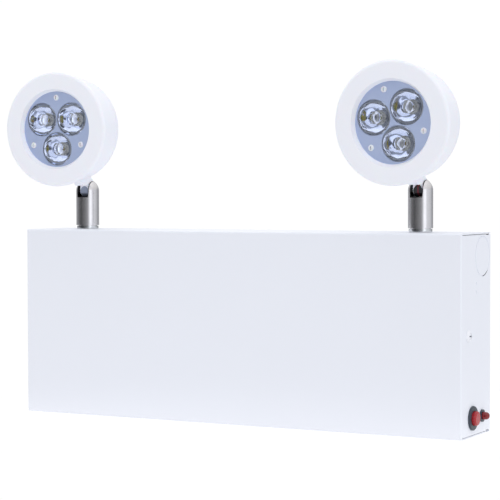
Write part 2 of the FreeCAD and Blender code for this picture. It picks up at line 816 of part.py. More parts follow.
def heat_sink(turn):
    """The aluminium heat sink, with straight fins and the posts that take the cover bolts."""
    base = rod(sink_radius, on_axis(sink_front), on_axis(sink_back))
    fins = []
    count = int(fin_reach / fin_pitch)
    for i in range(-count, count + 1):
        x = i * fin_pitch
        half = math.sqrt(fin_reach ** 2 - x ** 2)
        fins.append(box(x - fin_thickness / 2, x + fin_thickness / 2, face_y + sink_back,
                        face_y + sink_back + fin_height, head_axis - half, head_axis + half))
    posts = [rod(post_radius, head_point(sink_back, post_circle, angle),
                 head_point(cover_inside - touch_gap, post_circle, angle))
             for angle in post_angles]
    cuts = [notch(sink_front, sink_back + fin_height)]
    for angle in post_angles:
        bolt_end = head_depth - cover_bolt_length - 2 * touch_gap
        cuts.append(rod(cover_bolt_radius + touch_gap, head_point(bolt_end, post_circle, angle),
                        head_point(head_depth, post_circle, angle)))
    for angle in module_screw_angles(turn):
        cuts.append(rod(module_screw_radius + touch_gap,
                        head_point(sink_front - 1, module_screw_circle, angle),
                        head_point(sink_back - touch_gap, module_screw_circle, angle)))
    return cut_all(joined([base] + fins + posts), cuts)


def module_screws(turn):
    """The three pale screws that hold the plate, the board and the heat sink together."""
    length = sink_back - module_front - 3 * touch_gap
    screw = dome_screw(module_screw_radius, length, module_screw_head, module_screw_head_height)
    return [placed(screw, head_point(module_front, module_screw_circle, angle), V(0, -1, 0))
            for angle in module_screw_angles(turn)]


def cover_bolts():
    """The three screws in the back of the head."""
    screw = dome_screw(cover_bolt_radius, cover_bolt_length, cover_bolt_head,
                       cover_bolt_head_height)
    return [placed(screw, head_point(head_depth, post_circle, angle), V(0, 1, 0))
            for angle in post_angles]


def lamp_leads(side):
    """The red and the black lead from the lamp board to the tongue's pocket."""
    return [lead([V(x, -forward, up) for forward, up in lead_route(side)], lamp_lead_radius)
            for x in lead_places()]


def head_parts(turn, side):
    """Every piece of one head by name."""
    lens_shape = lens()
    chip = emitter()
    return {
        "lamp_shell": [lamp_shell()],
        "back_cover": [back_cover(side)],
        "cover_bolts": cover_bolts(),
        "heat_sink": [heat_sink(turn)],
        "lamp_board": [lamp_board(turn)],
        "emitters": [placed(chip, head_point(board_front, lens_circle, angle), V(0, -1, 0))
                     for angle in lens_angles(turn)],
        "lenses": [placed(lens_shape, head_point(board_front, lens_circle, angle), V(0, -1, 0))
                   for angle in lens_angles(turn)],
        "face_plate": [face_plate(turn)],
        "module_screws": module_screws(turn),
        "lamp_leads": lamp_leads(side),
    }


# ================================================================ test button and pilot lamp
def bezel():
    """The button's flanged bezel, with the barrel that passes through the cabinet's end."""
    face = half_width + bezel_thickness
    inside = half_width - barrel_length
    flange = rod(bezel_radius, V(half_width, button_y, button_z), V(face, button_y, button_z))
    flange = rounded(flange, bezel_edge, circle_edge_at(face, "X"))
    barrel = rod(barrel_radius, V(inside, button_y, button_z), V(face, button_y, button_z))
    hole = rod(plunger_radius + running_gap, V(inside - 1, button_y, button_z),
               V(face + 1, button_y, button_z))
    return joined([flange, barrel]).cut(hole)


def plunger():
    """The red plunger."""
    face = half_width + plunger_proud
    inner = half_width - barrel_length + button_travel + running_gap
    body = rod(plunger_radius, V(inner, button_y, button_z), V(face, button_y, button_z))
    return rounded(body, plunger_edge, circle_edge_at(face, "X"))


def switch_parts():
    """The switch behind the button, its two blades and the nut on the barrel."""
    front = half_width - barrel_length
    back = front - switch_length
    half = switch_side / 2
    body = box(back, front, button_y - half, button_y + half, button_z - half, button_z + half)
    blades = []
    for side in (-1, 1):
        z = button_z + side * switch_tab
        blades.append(box(back - switch_tab, back, button_y - switch_tab / 2,
                          button_y + switch_tab / 2, z - terminal_thickness / 2,
                          z + terminal_thickness / 2))
    nut_face = half_width - sheet
    nut = hexagon(button_nut_flats, V(nut_face - button_nut_height, button_y, button_z),
                  V(nut_face, button_y, button_z))
    nut = nut.cut(rod(barrel_radius + touch_gap, V(front, button_y, button_z),
                      V(half_width, button_y, button_z)))
    return body, blades, nut


def pilot_parts():
    """The pilot lamp and its clip."""
    inside = half_width - pilot_inside
    dome_x = half_width + pilot_dome_centre
    middle = V(dome_x, pilot_y, pilot_z)
    lamp = rod(pilot_radius, V(inside, pilot_y, pilot_z), middle)
    lamp = joined([lamp, Part.makeSphere(pilot_radius, middle, V(1, 0, 0), 0, 90, 360)])
    clip_back = half_width - clip_length
    clip_face = half_width + clip_thickness
    clip = joined([rod(clip_radius, V(half_width, pilot_y, pilot_z),
                       V(clip_face, pilot_y, pilot_z)),
                   rod(clip_barrel_radius, V(clip_back, pilot_y, pilot_z),
                       V(clip_face, pilot_y, pilot_z))])
    hole = rod(pilot_radius + touch_gap, V(clip_back - 1, pilot_y, pilot_z),
               V(clip_face + 1, pilot_y, pilot_z))
    return lamp, clip.cut(hole)


# ================================================================ inside the cabinet
def battery():
    """The sealed battery, lying on its long side against the back plate."""
    body = box(battery_left, battery_right, battery_front, battery_back, battery_bottom,
               battery_top)
    return rounded(body, battery_edge, lambda edge: edge.BoundBox.XLength > battery_thickness)


def battery_terminals():
    """The two blades on the end of the battery."""
    return [box(battery_right, battery_right + terminal_length,
                battery_mid_y - terminal_width / 2, battery_mid_y + terminal_width / 2,
                z - terminal_thickness / 2, z + terminal_thickness / 2)
            for z in battery_terminal_heights]


def strap(points, low_z, high_z, turn):
    """A folded steel strap from an outline of its outer side in x and y."""
    outline = [V(x, y, low_z) for x, y in points]
    band = prism(outline, V(0, 0, high_z - low_z))
    band.rotate(V(0, 0, 0), V(0, 1, 0), turn)
    return band


def hat_outline(half_span, reach, foot):
    """The section of a hat-shaped strap over something as wide as twice half_span."""
    outer = half_span + seat_gap + sheet
    inner = half_span + seat_gap
    top = -reach - seat_gap
    start = plate_front
    return [(-outer - foot, start), (-inner, start), (-inner, top), (inner, top),
            (inner, start), (outer + foot, start), (outer + foot, start - sheet),
            (outer, start - sheet), (outer, top - sheet), (-outer, top - sheet),
            (-outer, start - sheet), (-outer - foot, start - sheet)]


def battery_strap():
    """The strap round the battery, with a foot above and below it."""
    half = battery_width / 2
    band = strap(hat_outline(half, -battery_front, strap_foot), -strap_width / 2,
                 strap_width / 2, 90)
    band.translate(V(battery_mid_x, 0, battery_mid_z))
    return drilled(band, strap_screw_places())


def transformer_bracket():
    """The bracket over the transformer's core."""
    half = core_width / 2
    top = core_height + seat_gap - plate_front
    band = strap(hat_outline(half, top, bracket_foot), -bracket_width / 2, bracket_width / 2, 0)
    band.translate(V(transformer_x, 0, transformer_z))
    return drilled(band, bracket_screw_places())


def drilled(shape, places):
    """The shape with clearance holes for chassis screws."""
    hole = chassis_screw_radius + touch_gap
    return cut_all(shape, [rod(hole, V(x, -3 * sheet, z), V(x, 0, z)) for x, z in places])


def strap_screw_places():
    """Where the strap's two screws stand on the back plate."""
    reach = battery_width / 2 + seat_gap + sheet + strap_foot / 2
    return [(battery_mid_x, battery_mid_z + side * reach) for side in (-1, 1)]


def bracket_screw_places():
    """Where the bracket's two screws stand on the back plate."""
    reach = core_width / 2 + seat_gap + sheet + bracket_foot / 2
    return [(transformer_x + side * reach, transformer_z) for side in (-1, 1)]


def board_screw_places():
    """The four corners of the charger board."""
    xs = (charger_left + standoff_inset, charger_left + charger_width - standoff_inset)
    zs = (charger_bottom + standoff_inset, charger_bottom + charger_height - standoff_inset)
    return [(x, z) for x in xs for z in zs]


def chassis_screws():
    """The short screws of the strap and the bracket, and the long ones of the charger board."""
    short = dome_screw(chassis_screw_radius, 2 * sheet - touch_gap, chassis_screw_head,
                       chassis_screw_head_height)
    long = dome_screw(chassis_screw_radius, board_screw_length, chassis_screw_head,
                      chassis_screw_head_height)
    on_plate = strap_screw_places() + bracket_screw_places()
    screws = [placed(short, V(x, plate_front - sheet, z), V(0, -1, 0)) for x, z in on_plate]
    screws += [placed(long, V(x, charger_front, z), V(0, -1, 0))
               for x, z in board_screw_places()]
    return screws


def charger_parts():
    """The charger board, its standoffs and what is soldered to it."""
    board = box(charger_left, charger_left + charger_width, charger_front, charger_back,
                charger_bottom, charger_bottom + charger_height)
    hole = chassis_screw_radius + touch_gap
    board = cut_all(board, [rod(hole, V(x, charger_front - 1, z), V(x, plate_front, z))
                            for x, z in board_screw_places()])
    depth = charger_front + board_screw_length + touch_gap
    standoffs = [rod(standoff_radius, V(x, charger_back, z), V(x, plate_front, z)).cut(
        rod(hole, V(x, charger_front, z), V(x, depth, z))) for x, z in board_screw_places()]
    relay = on_board(relay_at, relay_size)
    socket = on_board(socket_at, socket_size)
    cans = [rounded(rod(radius, V(x, charger_front - length, z), V(x, charger_front, z)),
                    bezel_edge, circle_edge_at(charger_front - length, "Y"))
            for radius, length, x, z in capacitors]
    return board, standoffs, relay, socket, cans


def on_board(middle, size):
    """A block on the charger board, by its middle in x and z, and its width, height and depth."""
    x, z = middle
    width, height, depth = size
    return box(x - width / 2, x + width / 2, charger_front - depth, charger_front,
               z - height / 2, z + height / 2)


def transformer():
    """The laminated core and the coil round its middle limb."""
    half = core_width / 2
    back = plate_front - seat_gap
    front = back - core_height
    low = transformer_z - core_stack / 2
    high = transformer_z + core_stack / 2
    core = box(transformer_x - half, transformer_x + half, front, back, low, high)
    window_back = back - (core_height - window_height) / 2
    window_front = window_back - window_height
    windows = []
    for side in (-1, 1):
        near = transformer_x + side * limb_width / 2
        far = near + side * window_width
        windows.append(box(min(near, far), max(near, far), window_front, window_back,
                           low - 1, high + 1))
    winding = limb_width / 2 + window_width - seat_gap
    inner = limb_width / 2 + seat_gap
    coil = box(transformer_x - winding, transformer_x + winding, window_front + seat_gap,
               window_back - seat_gap, low - winding_overhang, high + winding_overhang)
    coil = rounded(coil, winding_overhang / 2, lambda edge: edge_runs_in(edge))
    middle = box(transformer_x - inner, transformer_x + inner, front, back,
                 low - seat_gap, high + seat_gap)
    return cut_all(core, windows), coil.cut(middle)


def edge_runs_in(edge):
    """Whether an edge runs front to back."""
    bounds = edge.BoundBox
    return bounds.YLength > bounds.XLength + bounds.ZLength


def terminal_block():
    """The supply's terminal block, with its two screw wells."""
    x, z = terminal_block_at
    width, height, depth = terminal_block_size
    block = box(x - width / 2, x + width / 2, plate_front - depth, plate_front,
                z - height / 2, z + height / 2)
    wells = [rod(well_radius, V(x + side * width / 4, plate_front - depth - 1, z),
                 V(x + side * width / 4, plate_front - depth / 2, z)) for side in (-1, 1)]
    return cut_all(block, wells)


def wire_clips():
    """The clips on the back plate that hold the left head's leads."""
    width, depth, height = clip_block
    clips = []
    for x in clip_places:
        block = box(x - width / 2, x + width / 2, plate_front - depth, plate_front,
                    run_height - height / 2, run_height + height / 2)
        ways = [rod(lead_radius + touch_gap, V(x - width, run_y, z), V(x + width, run_y, z))
                for z in run_heights]
        clips.append(cut_all(block, ways))
    return clips


def stem_foot(stem_x, pan, back, lead_x):
    """Where a lead leaves the foot of a stem."""
    turn = math.radians(pan)
    dx = lead_x * math.cos(turn) - back * math.sin(turn)
    dy = lead_x * math.sin(turn) + back * math.cos(turn)
    return V(stem_x + dx, stem_y + dy, half_height + stem_tail - running_gap)


def cabinet_leads():
    """The red, black and white leads inside the cabinet."""
    routes = {"red": [], "black": [], "white": []}
    socket_x, socket_z = socket_at
    socket_y = charger_front - socket_size[2] / 2
    socket_left = socket_x - socket_size[0] / 2
    socket_top = socket_z + socket_size[1] / 2
    pairs = (("red", 1), ("black", -1))
    for i, (colour, side) in enumerate(pairs):
        foot = stem_foot(left_stem_x, left_pan, stem_lead_offset, lead_places()[i])
        z = run_heights[i]
        down = foot - V(0, 0, lead_drop)
        entry = socket_z + side * socket_size[1] / 4
        over = plate_front - over_board
        routes[colour].append([foot, down, V(down.x, run_y, z), V(charger_left - over_board,
                               run_y, z), V(charger_left, over, z),
                               V(socket_left - over_board, over, z),
                               V(socket_left - over_board / 2, socket_y, entry),
                               V(socket_left, socket_y, entry)])
        foot = stem_foot(right_stem_x, right_pan, -stem_lead_offset, lead_places()[i])
        down = foot - V(0, 0, lead_drop + side * lead_stagger)
        entry_x = socket_x + side * socket_size[0] / 4
        routes[colour].append([foot, down, V(entry_x, socket_y, socket_top + lead_drop),
                               V(entry_x, socket_y, socket_top)])
        blade_z = battery_terminal_heights[i]
        pad = battery_pads[i]
        tip = battery_right + terminal_length
        routes[colour].append([V(tip, battery_mid_y, blade_z),
                               V(tip + lead_drop, battery_mid_y, blade_z),
                               V(tip + lead_drop * 2, battery_mid_y, pad[1]),
                               V(pad[0], battery_mid_y, pad[1]),
                               V(pad[0], charger_front, pad[1])])
        tab_z = button_z + side * switch_tab
        tab_x = half_width - barrel_length - switch_length - switch_tab
        pad = switch_pads[i]
        routes[colour].append([V(tab_x, button_y, tab_z), V(tab_x - lead_drop, button_y, tab_z),
                               V(pad[0], button_y, pad[1]), V(pad[0], charger_front, pad[1])])
        pad = pilot_pads[i]
        start = V(half_width - pilot_inside, pilot_y + side * pilot_radius / 2, pilot_z)
        routes[colour].append([start, start - V(lead_drop * 2, 0, 0),
                               V(pad[0], charger_front - over_board, pad[1]),
                               V(pad[0], charger_front, pad[1])])
    block_x, block_z = terminal_block_at
    block_right = block_x + terminal_block_size[0] / 2
    block_y = plate_front - terminal_block_size[2] / 4
    coil_top = transformer_z + core_stack / 2 + winding_overhang
    for colour, x, side in (("white", primary_x[0], 1), ("black", primary_x[1], -1)):
        z = block_z + side * terminal_block_size[1] / 4
        start = V(x, coil_y, coil_top)
        routes[colour].append([start, start + V(0, 0, coil_rise + side * lead_radius * 2),
                               V(block_right + lead_drop, block_y, z), V(block_right, block_y, z)])
    for colour, pad in (("red", secondary_pads[0]), ("black", secondary_pads[1])):
        start = V(pad[0], coil_y, coil_top)
        routes[colour].append([start, V(pad[0], coil_y, pad[1]),
                               V(pad[0], charger_front, pad[1])])
    return {colour: [lead(route, lead_radius) for route in found]
            for colour, found in routes.items()}


# ================================================================ places inside
left_stem_x = -half_width + left_stem_inset
right_stem_x = half_width - right_stem_inset
battery_right = battery_left + battery_length
battery_top = battery_bottom + battery_width
battery_back = plate_front - seat_gap
battery_front = battery_back - battery_thickness
battery_mid_x = battery_left + battery_length / 2
battery_mid_y = (battery_front + battery_back) / 2
battery_mid_z = (battery_bottom + battery_top) / 2
battery_terminal_heights = (battery_mid_z + terminal_spacing / 2,
                            battery_mid_z - terminal_spacing / 2)
charger_back = plate_front - standoff_height
charger_front = charger_back - charger_thickness
stem_tail = -sheet - swivel_lift - stem_nut_height - shank_tail
run_heights = (run_height + run_spread, run_height - run_spread)


def build():
    os.makedirs("parts", exist_ok=True)
    write("front_cover", [front_cover()])
    write("back_plate", [back_plate()])
    write("cover_screws", cover_screws())
    write("battery", [battery()])
    write("battery_blades", battery_terminals())
    write("battery_strap", [battery_strap()])
    write("chassis_screws", chassis_screws())
    board, standoffs, relay, socket, cans = charger_parts()
    write("charger_board", [board])
    write("board_standoffs", standoffs)
    write("relay", [relay])
    write("lamp_socket", [socket])
    write("capacitors", cans)
    core, coil = transformer()
    write("transformer_core", [core])
    write("transformer_coil", [coil])
    write("transformer_bracket", [transformer_bracket()])
    write("terminal_block", [terminal_block()])
    ground_x, ground_z = ground_screw_at
    ground = dome_screw(ground_screw_radius, sheet - touch_gap, ground_screw_head,
                        ground_screw_head_height)
    write("ground_screw", [placed(ground, V(ground_x, plate_front, ground_z), V(0, -1, 0))])
    write("wire_clips", wire_clips())
    write("test_button_bezel", [bezel()])
    write("test_button", [plunger()])
    body, blades, nut = switch_parts()
    write("switch_body", [body])
    write("switch_blades", blades)
    write("switch_nut", [nut])
    lamp, clip = pilot_parts()
    write("pilot_lamp", [lamp])
    write("pilot_clip", [clip])
    for colour, solids in cabinet_leads().items():
        write(colour + "_leads", solids)
    heads = (("left", left_stem_x, left_pan, left_tilt, left_lens_turn, 1),
             ("right", right_stem_x, right_pan, right_tilt, right_lens_turn, -1))
    for side, stem_x, pan, tilt, lens_turn, lead_side in heads:
        stem, collar, nut = stem_parts()
        stem_pieces = {"stem": [stem], "stem_collar": [collar], "stem_nut": [nut],
                       "pivot_screw": [pivot_screw()], "friction_washer": [friction_washer()],
                       "stem_leads": stem_leads(lead_side)}
        foot = V(stem_x, stem_y, half_height)
        for name, solids in stem_pieces.items():
            for solid in solids:
                solid.rotate(V(0, 0, 0), V(0, 0, 1), pan)
                solid.translate(foot)
            write(side + "_" + name, solids)
        pivot = foot + V(0, 0, pivot_height)
        for name, solids in head_parts(lens_turn, lead_side).items():
            for solid in solids:
                solid.rotate(V(0, 0, 0), V(1, 0, 0), -tilt)
                solid.rotate(V(0, 0, 0), V(0, 0, 1), pan)
                solid.translate(pivot)
            write(side + "_" + name, solids)


build()
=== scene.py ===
import json
import math

import bmesh
import bpy
from mathutils import Matrix, Vector

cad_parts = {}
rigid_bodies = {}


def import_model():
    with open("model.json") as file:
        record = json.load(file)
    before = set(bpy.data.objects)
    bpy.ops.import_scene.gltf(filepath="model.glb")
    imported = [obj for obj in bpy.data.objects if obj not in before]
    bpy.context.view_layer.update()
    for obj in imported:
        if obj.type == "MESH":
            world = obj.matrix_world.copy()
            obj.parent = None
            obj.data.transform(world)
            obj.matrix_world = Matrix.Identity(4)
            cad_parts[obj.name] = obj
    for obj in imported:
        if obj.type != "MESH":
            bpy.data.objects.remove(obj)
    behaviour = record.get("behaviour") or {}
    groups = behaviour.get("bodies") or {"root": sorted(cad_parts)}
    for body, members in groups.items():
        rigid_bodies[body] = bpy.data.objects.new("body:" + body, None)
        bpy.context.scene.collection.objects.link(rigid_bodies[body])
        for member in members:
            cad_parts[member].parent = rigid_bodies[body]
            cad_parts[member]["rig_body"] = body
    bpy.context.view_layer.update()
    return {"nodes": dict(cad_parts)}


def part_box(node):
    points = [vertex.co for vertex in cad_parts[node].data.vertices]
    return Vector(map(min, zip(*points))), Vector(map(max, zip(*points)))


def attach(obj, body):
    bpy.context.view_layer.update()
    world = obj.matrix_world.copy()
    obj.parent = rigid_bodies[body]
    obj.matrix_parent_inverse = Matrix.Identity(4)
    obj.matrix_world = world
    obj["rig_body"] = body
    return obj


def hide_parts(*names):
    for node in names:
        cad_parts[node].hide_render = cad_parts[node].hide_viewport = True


# Two-headed steel emergency light on a plain studio floor. Metres throughout, +Z up, the front
# looks towards -Y. Sizes that are only used in outlines are in millimetres.

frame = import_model()
mm = 0.001

# ---------------------------------------------------------------- cabinet
half_width = 161.1 * mm
cabinet_top = 63.5 * mm          # and its underside is as far below the origin
knockout_from_wall = 14.1 * mm
knockout_height = 48.7 * mm
knockout_radius = 12.5 * mm
slit_reach = 2.1 * mm            # how far in from the cabinet's end the slit's painted shade lies
slit_half = 0.5 * mm             # either side of the knockout's ring
slit_shade_turns = (-82, -48)          # degrees round the knockout, the part of the slit painted dark as its shade
floor_radius = 220 * mm

# ---------------------------------------------------------------- knuckles
pivot_above_top = 27.5 * mm
slot_half = 4.2 * mm
# how far the painted dark reflection reaches beyond each side of the slot
slot_edge_shade = 0.4 * mm
slot_floor = -5.6 * mm           # from the pivot, just under the slot's floor
tongue_shift = 0.5 * mm
cover_notch = ((-4.5, -30, -9), (5.5, -5.1, 2.9))   # two corners from the pivot, millimetres
# painted shade on the sheet over each tongue's pocket: grey-blue for the left tongue's shaded front,
# black for the shadow in the right pocket with a red lead in that shade down its middle
pocket_shades = {"left": ("grey_plug",), "right": ("black_plastic", "dark_red_lead")}

# ---------------------------------------------------------------- lamp heads
head_forward = 43.0 * mm         # face in front of the pivot
head_axis = 41.8 * mm            # axis above the pivot
head_depth = 32.0 * mm
head_turns = {"left": (3.0, -1.5), "right": (-2.0, -2.0)}      # pan and tilt, degrees
lens_turns = {"left": 30.0, "right": 45.5}                     # first lens, anticlockwise from +X
board_depth = 16.0 * mm          # of the lamp board's front behind the face
lens_circle = 13.3 * mm
screw_circle = 21.3 * mm
bolt_circle = 18.0 * mm
lip = 3.3                        # millimetres from the face to the back of the mouth's lip
lens_foot = 4.6                  # radius in millimetres, where the mirror wall starts
mirror_top = 12.75               # millimetres above the board, just under the lens's face
drum_segments = 192
small_segments = 64              # round a small turned piece


# ================================================================ node helper
def add(tree, kind, inputs=(), **settings):
    """Adds a node with its settings, and sets or links its inputs."""
    made = tree.nodes.new(kind)
    for name, value in settings.items():
        setattr(made, name, value)
    for name, value in dict(inputs).items():
        if isinstance(value, bpy.types.Node):
            value = value.outputs[0]
        if isinstance(value, bpy.types.NodeSocket):
            tree.links.new(value, made.inputs[name])
        else:
            made.inputs[name].default_value = value
    return made


def linear(code):
    """An sRGB hex colour as linear red, green, blue and alpha."""
    parts = [int(code[i:i + 2], 16) / 255 for i in (0, 2, 4)]
    return tuple(p / 12.92 if p <= 0.04045 else ((p + 0.055) / 1.055) ** 2.4
                 for p in parts) + (1.0,)


def per(size):
    """How often a pattern of this size in millimetres repeats in a metre."""
    return 1 / (size * mm)


def waves(pitch):
    """A wave texture's scale for bands this many millimetres apart. Its own bands repeat
    every 2 pi / 20 of a unit."""
    return per(pitch) * 2 * math.pi / 20


# ================================================================ finishes
finishes = {}


def finish(name):
    """A new finish's node tree, and the piece's own coordinates in it."""
    made = bpy.data.materials.new(name)
    made.use_nodes = True
    made.node_tree.nodes.clear()
    finishes[name] = made
    place = add(made.node_tree, "ShaderNodeTexCoord").outputs["Object"]
    return made.node_tree, place


def mottled(name, dark, light, clouds, gloss, grain=None, bump=None, shader=()):
    """A finish whose colour drifts between two tones in clouds. Its grain, or the clouds where
    it has none, stands proud by bump, a strength and a height in millimetres, and varies the
    gloss where that is a range. Clouds and grain are a size in millimetres, or one for each
    axis, and a noise's detail, roughness and distortion, as many as it sets."""
    tree, place = finish(name)
    patterns = []
    for size, *noise in filter(None, (clouds, grain)):
        sizes = size if isinstance(size, tuple) else (size,) * 3
        stretched = add(tree, "ShaderNodeMapping", {"Vector": place,
                                                    "Scale": tuple(per(s) for s in sizes)})
        patterns.append(add(tree, "ShaderNodeTexNoise", {
            "Vector": stretched, "Scale": 1.0,
            **dict(zip(("Detail", "Roughness", "Distortion"), noise))}))
    tone = add(tree, "ShaderNodeMix", {0: patterns[0], 6: linear(dark), 7: linear(light)},
               data_type="RGBA")
    inputs = {"Base Color": tone.outputs[2], "Roughness": gloss, **dict(shader)}
    if isinstance(gloss, tuple):
        inputs["Roughness"] = add(tree, "ShaderNodeMapRange", {
            "Value": patterns[-1], "To Min": gloss[0], "To Max": gloss[1]})
    if bump:
        inputs["Normal"] = add(tree, "ShaderNodeBump", {
            "Height": patterns[-1], "Strength": bump[0], "Distance": bump[1] * mm})
    surface = add(tree, "ShaderNodeBsdfPrincipled", inputs)
    add(tree, "ShaderNodeOutputMaterial", {"Surface": surface})


def powder_coat():
    """White polyester powder coat baked on sheet steel: satin, with the faint orange peel that
    flow in the oven leaves, and a dusting of finer ripple."""
    tree, place = finish("white_enamel")
    peel = add(tree, "ShaderNodeTexNoise", {"Vector": place, "Scale": per(2.2), "Detail": 2.0,
                                            "Roughness": 0.45})
    ripple = add(tree, "ShaderNodeTexNoise", {"Vector": place, "Scale": per(0.7), "Detail": 1.0})
    cloud = add(tree, "ShaderNodeTexNoise", {"Vector": place, "Scale": per(70), "Detail": 3.0})
    both = add(tree, "ShaderNodeMath", {0: ripple, 1: 0.25, 2: peel}, operation="MULTIPLY_ADD")
    bump = add(tree, "ShaderNodeBump", {"Height": both, "Strength": 0.35, "Distance": 0.03 * mm})
    tint = add(tree, "ShaderNodeMix", {0: cloud, 6: linear("e9ecf5"), 7: linear("ebeef7")},
               data_type="RGBA")
    sheen = add(tree, "ShaderNodeMapRange", {"Value": peel, "To Min": 0.40, "To Max": 0.50})
    shader = add(tree, "ShaderNodeBsdfPrincipled", {
        "Base Color": tint.outputs[2], "Roughness": sheen, "Normal": bump, "IOR": 1.50})
    add(tree, "ShaderNodeOutputMaterial", {"Surface": shader})


def hot_dip_zinc():
    """Hot-dip galvanised sheet: grey zinc frozen in leafy spangles that catch light unequally."""
    tree, place = finish("galvanised_sheet")
    bend = add(tree, "ShaderNodeTexNoise", {"Vector": place, "Scale": per(6), "Detail": 3.0})
    warped = add(tree, "ShaderNodeVectorMath", {
        0: bend.outputs["Color"], 1: (4 * mm,) * 3, 2: place}, operation="MULTIPLY_ADD")
    spangle = add(tree, "ShaderNodeTexVoronoi", {"Vector": warped, "Scale": per(9)})
    grain = add(tree, "ShaderNodeSeparateColor", {"Color": spangle.outputs["Color"]})
    frost = add(tree, "ShaderNodeTexNoise", {"Vector": place, "Scale": per(0.8), "Detail": 4.0})
    tone = add(tree, "ShaderNodeMix", {0: grain, 6: linear("a3a7ab"), 7: linear("c3c7ca")},
               data_type="RGBA")
    shine = add(tree, "ShaderNodeMapRange", {"Value": grain.outputs[1], "To Min": 0.34,
                                             "To Max": 0.52})
    bump = add(tree, "ShaderNodeBump", {"Height": frost, "Strength": 0.2, "Distance": 0.02 * mm})
    shader = add(tree, "ShaderNodeBsdfPrincipled", {
        "Base Color": tone.outputs[2], "Metallic": 1.0, "Roughness": shine, "Normal": bump})
    add(tree, "ShaderNodeOutputMaterial", {"Surface": shader})


def painted_screw():
    """White baked paint on a steel screw: thicker at the rim, with a driver's faint grey rubbing."""
    tree, place = finish("white_screw")
    rub = add(tree, "ShaderNodeTexNoise", {"Vector": place, "Scale": per(1.5), "Detail": 5.0})
    worn = add(tree, "ShaderNodeMapRange", {"Value": rub, "From Min": 0.55, "From Max": 0.8})
    tone = add(tree, "ShaderNodeMix", {0: worn, 6: linear("eceef5"), 7: linear("c9ccd3")},
               data_type="RGBA")
    bump = add(tree, "ShaderNodeBump", {"Height": rub, "Strength": 0.3, "Distance": 0.03 * mm})
    shader = add(tree, "ShaderNodeBsdfPrincipled", {
        "Base Color": tone.outputs[2], "Roughness": 0.36, "Normal": bump, "IOR": 1.50})
    add(tree, "ShaderNodeOutputMaterial", {"Surface": shader})


def lens_wall():
    """The lens's flared wall, where light turns back inside the acrylic: a mirror to the
    eye, rippled where the moulding sank as it cooled."""
    tree, place = finish("lens_wall")
    cloud = add(tree, "ShaderNodeTexNoise", {"Vector": place, "Scale": per(3), "Detail": 2.0})
    tone = add(tree, "ShaderNodeMix", {0: cloud, 6: linear("e6edfc"), 7: linear("eff3fe")},
               data_type="RGBA")
    shine = add(tree, "ShaderNodeMapRange", {"Value": cloud, "To Min": 0.01, "To Max": 0.06})
    ripple = add(tree, "ShaderNodeTexNoise", {"Vector": place, "Scale": per(4), "Detail": 0.0})
    bump = add(tree, "ShaderNodeBump", {"Height": ripple, "Strength": 0.5,
                                        "Distance": 0.35 * mm})
    shader = add(tree, "ShaderNodeBsdfPrincipled", {
        "Base Color": tone.outputs[2], "Metallic": 1.0, "Roughness": shine, "Normal": bump})
    add(tree, "ShaderNodeOutputMaterial", {"Surface": shader})


def lamp_mask():
    """White solder mask on an aluminium board: smooth, slightly raised over its copper islands."""
    tree, place = finish("lamp_board")
    island = add(tree, "ShaderNodeTexVoronoi", {"Vector": place, "Scale": per(8)},
                 feature="DISTANCE_TO_EDGE")
    gap = add(tree, "ShaderNodeMapRange", {"Value": island, "From Max": 0.08})
    tone = add(tree, "ShaderNodeMix", {0: gap, 6: linear("c9cbca"), 7: linear("e4e5e2")},
               data_type="RGBA")
    bump = add(tree, "ShaderNodeBump", {"Height": gap, "Strength": 0.4, "Distance": 0.03 * mm})
    shader = add(tree, "ShaderNodeBsdfPrincipled", {
        "Base Color": tone.outputs[2], "Roughness": 0.35, "Normal": bump, "IOR": 1.52})
    add(tree, "ShaderNodeOutputMaterial", {"Surface": shader})


def green_mask():
    """Green solder mask over copper tracks on glass epoxy: tracks show lighter and stand proud."""
    tree, place = finish("charger_board")
    flat = add(tree, "ShaderNodeMapping", {"Vector": place,
                                           "Rotation": (math.radians(90), 0.0, 0.0)})
    tracks = add(tree, "ShaderNodeTexBrick", {
        "Vector": flat, "Color1": (1, 1, 1, 1), "Color2": (0.6, 0.6, 0.6, 1),
        "Mortar": (0, 0, 0, 1), "Scale": 1.0, "Mortar Size": 0.6 * mm, "Brick Width": 9 * mm,
        "Row Height": 2.4 * mm}, offset=0.37)
    tone = add(tree, "ShaderNodeMix", {0: tracks, 6: linear("0f4a2a"), 7: linear("2c7a45")},
               data_type="RGBA")
    bump = add(tree, "ShaderNodeBump", {"Height": tracks, "Strength": 0.6,
                                        "Distance": 0.04 * mm})
    shader = add(tree, "ShaderNodeBsdfPrincipled", {
        "Base Color": tone.outputs[2], "Roughness": 0.28, "Normal": bump, "IOR": 1.55})
    add(tree, "ShaderNodeOutputMaterial", {"Surface": shader})


def core_stack():
    """Stacked silicon-steel laminations, 0.5 mm each, varnished: dark edges in even layers."""
    tree, place = finish("laminations")
    layers = add(tree, "ShaderNodeTexWave", {"Vector": place, "Scale": waves(0.5),
                                             "Distortion": 0.4, "Detail": 1.0},
                 bands_direction="Z")
    tone = add(tree, "ShaderNodeMix", {0: layers, 6: linear("33302d"), 7: linear("6b6761")},
               data_type="RGBA")
    bump = add(tree, "ShaderNodeBump", {"Height": layers, "Strength": 0.6,
                                        "Distance": 0.05 * mm})
    shader = add(tree, "ShaderNodeBsdfPrincipled", {
        "Base Color": tone.outputs[2], "Metallic": 0.8, "Roughness": 0.45, "Normal": bump})
    add(tree, "ShaderNodeOutputMaterial", {"Surface": shader})


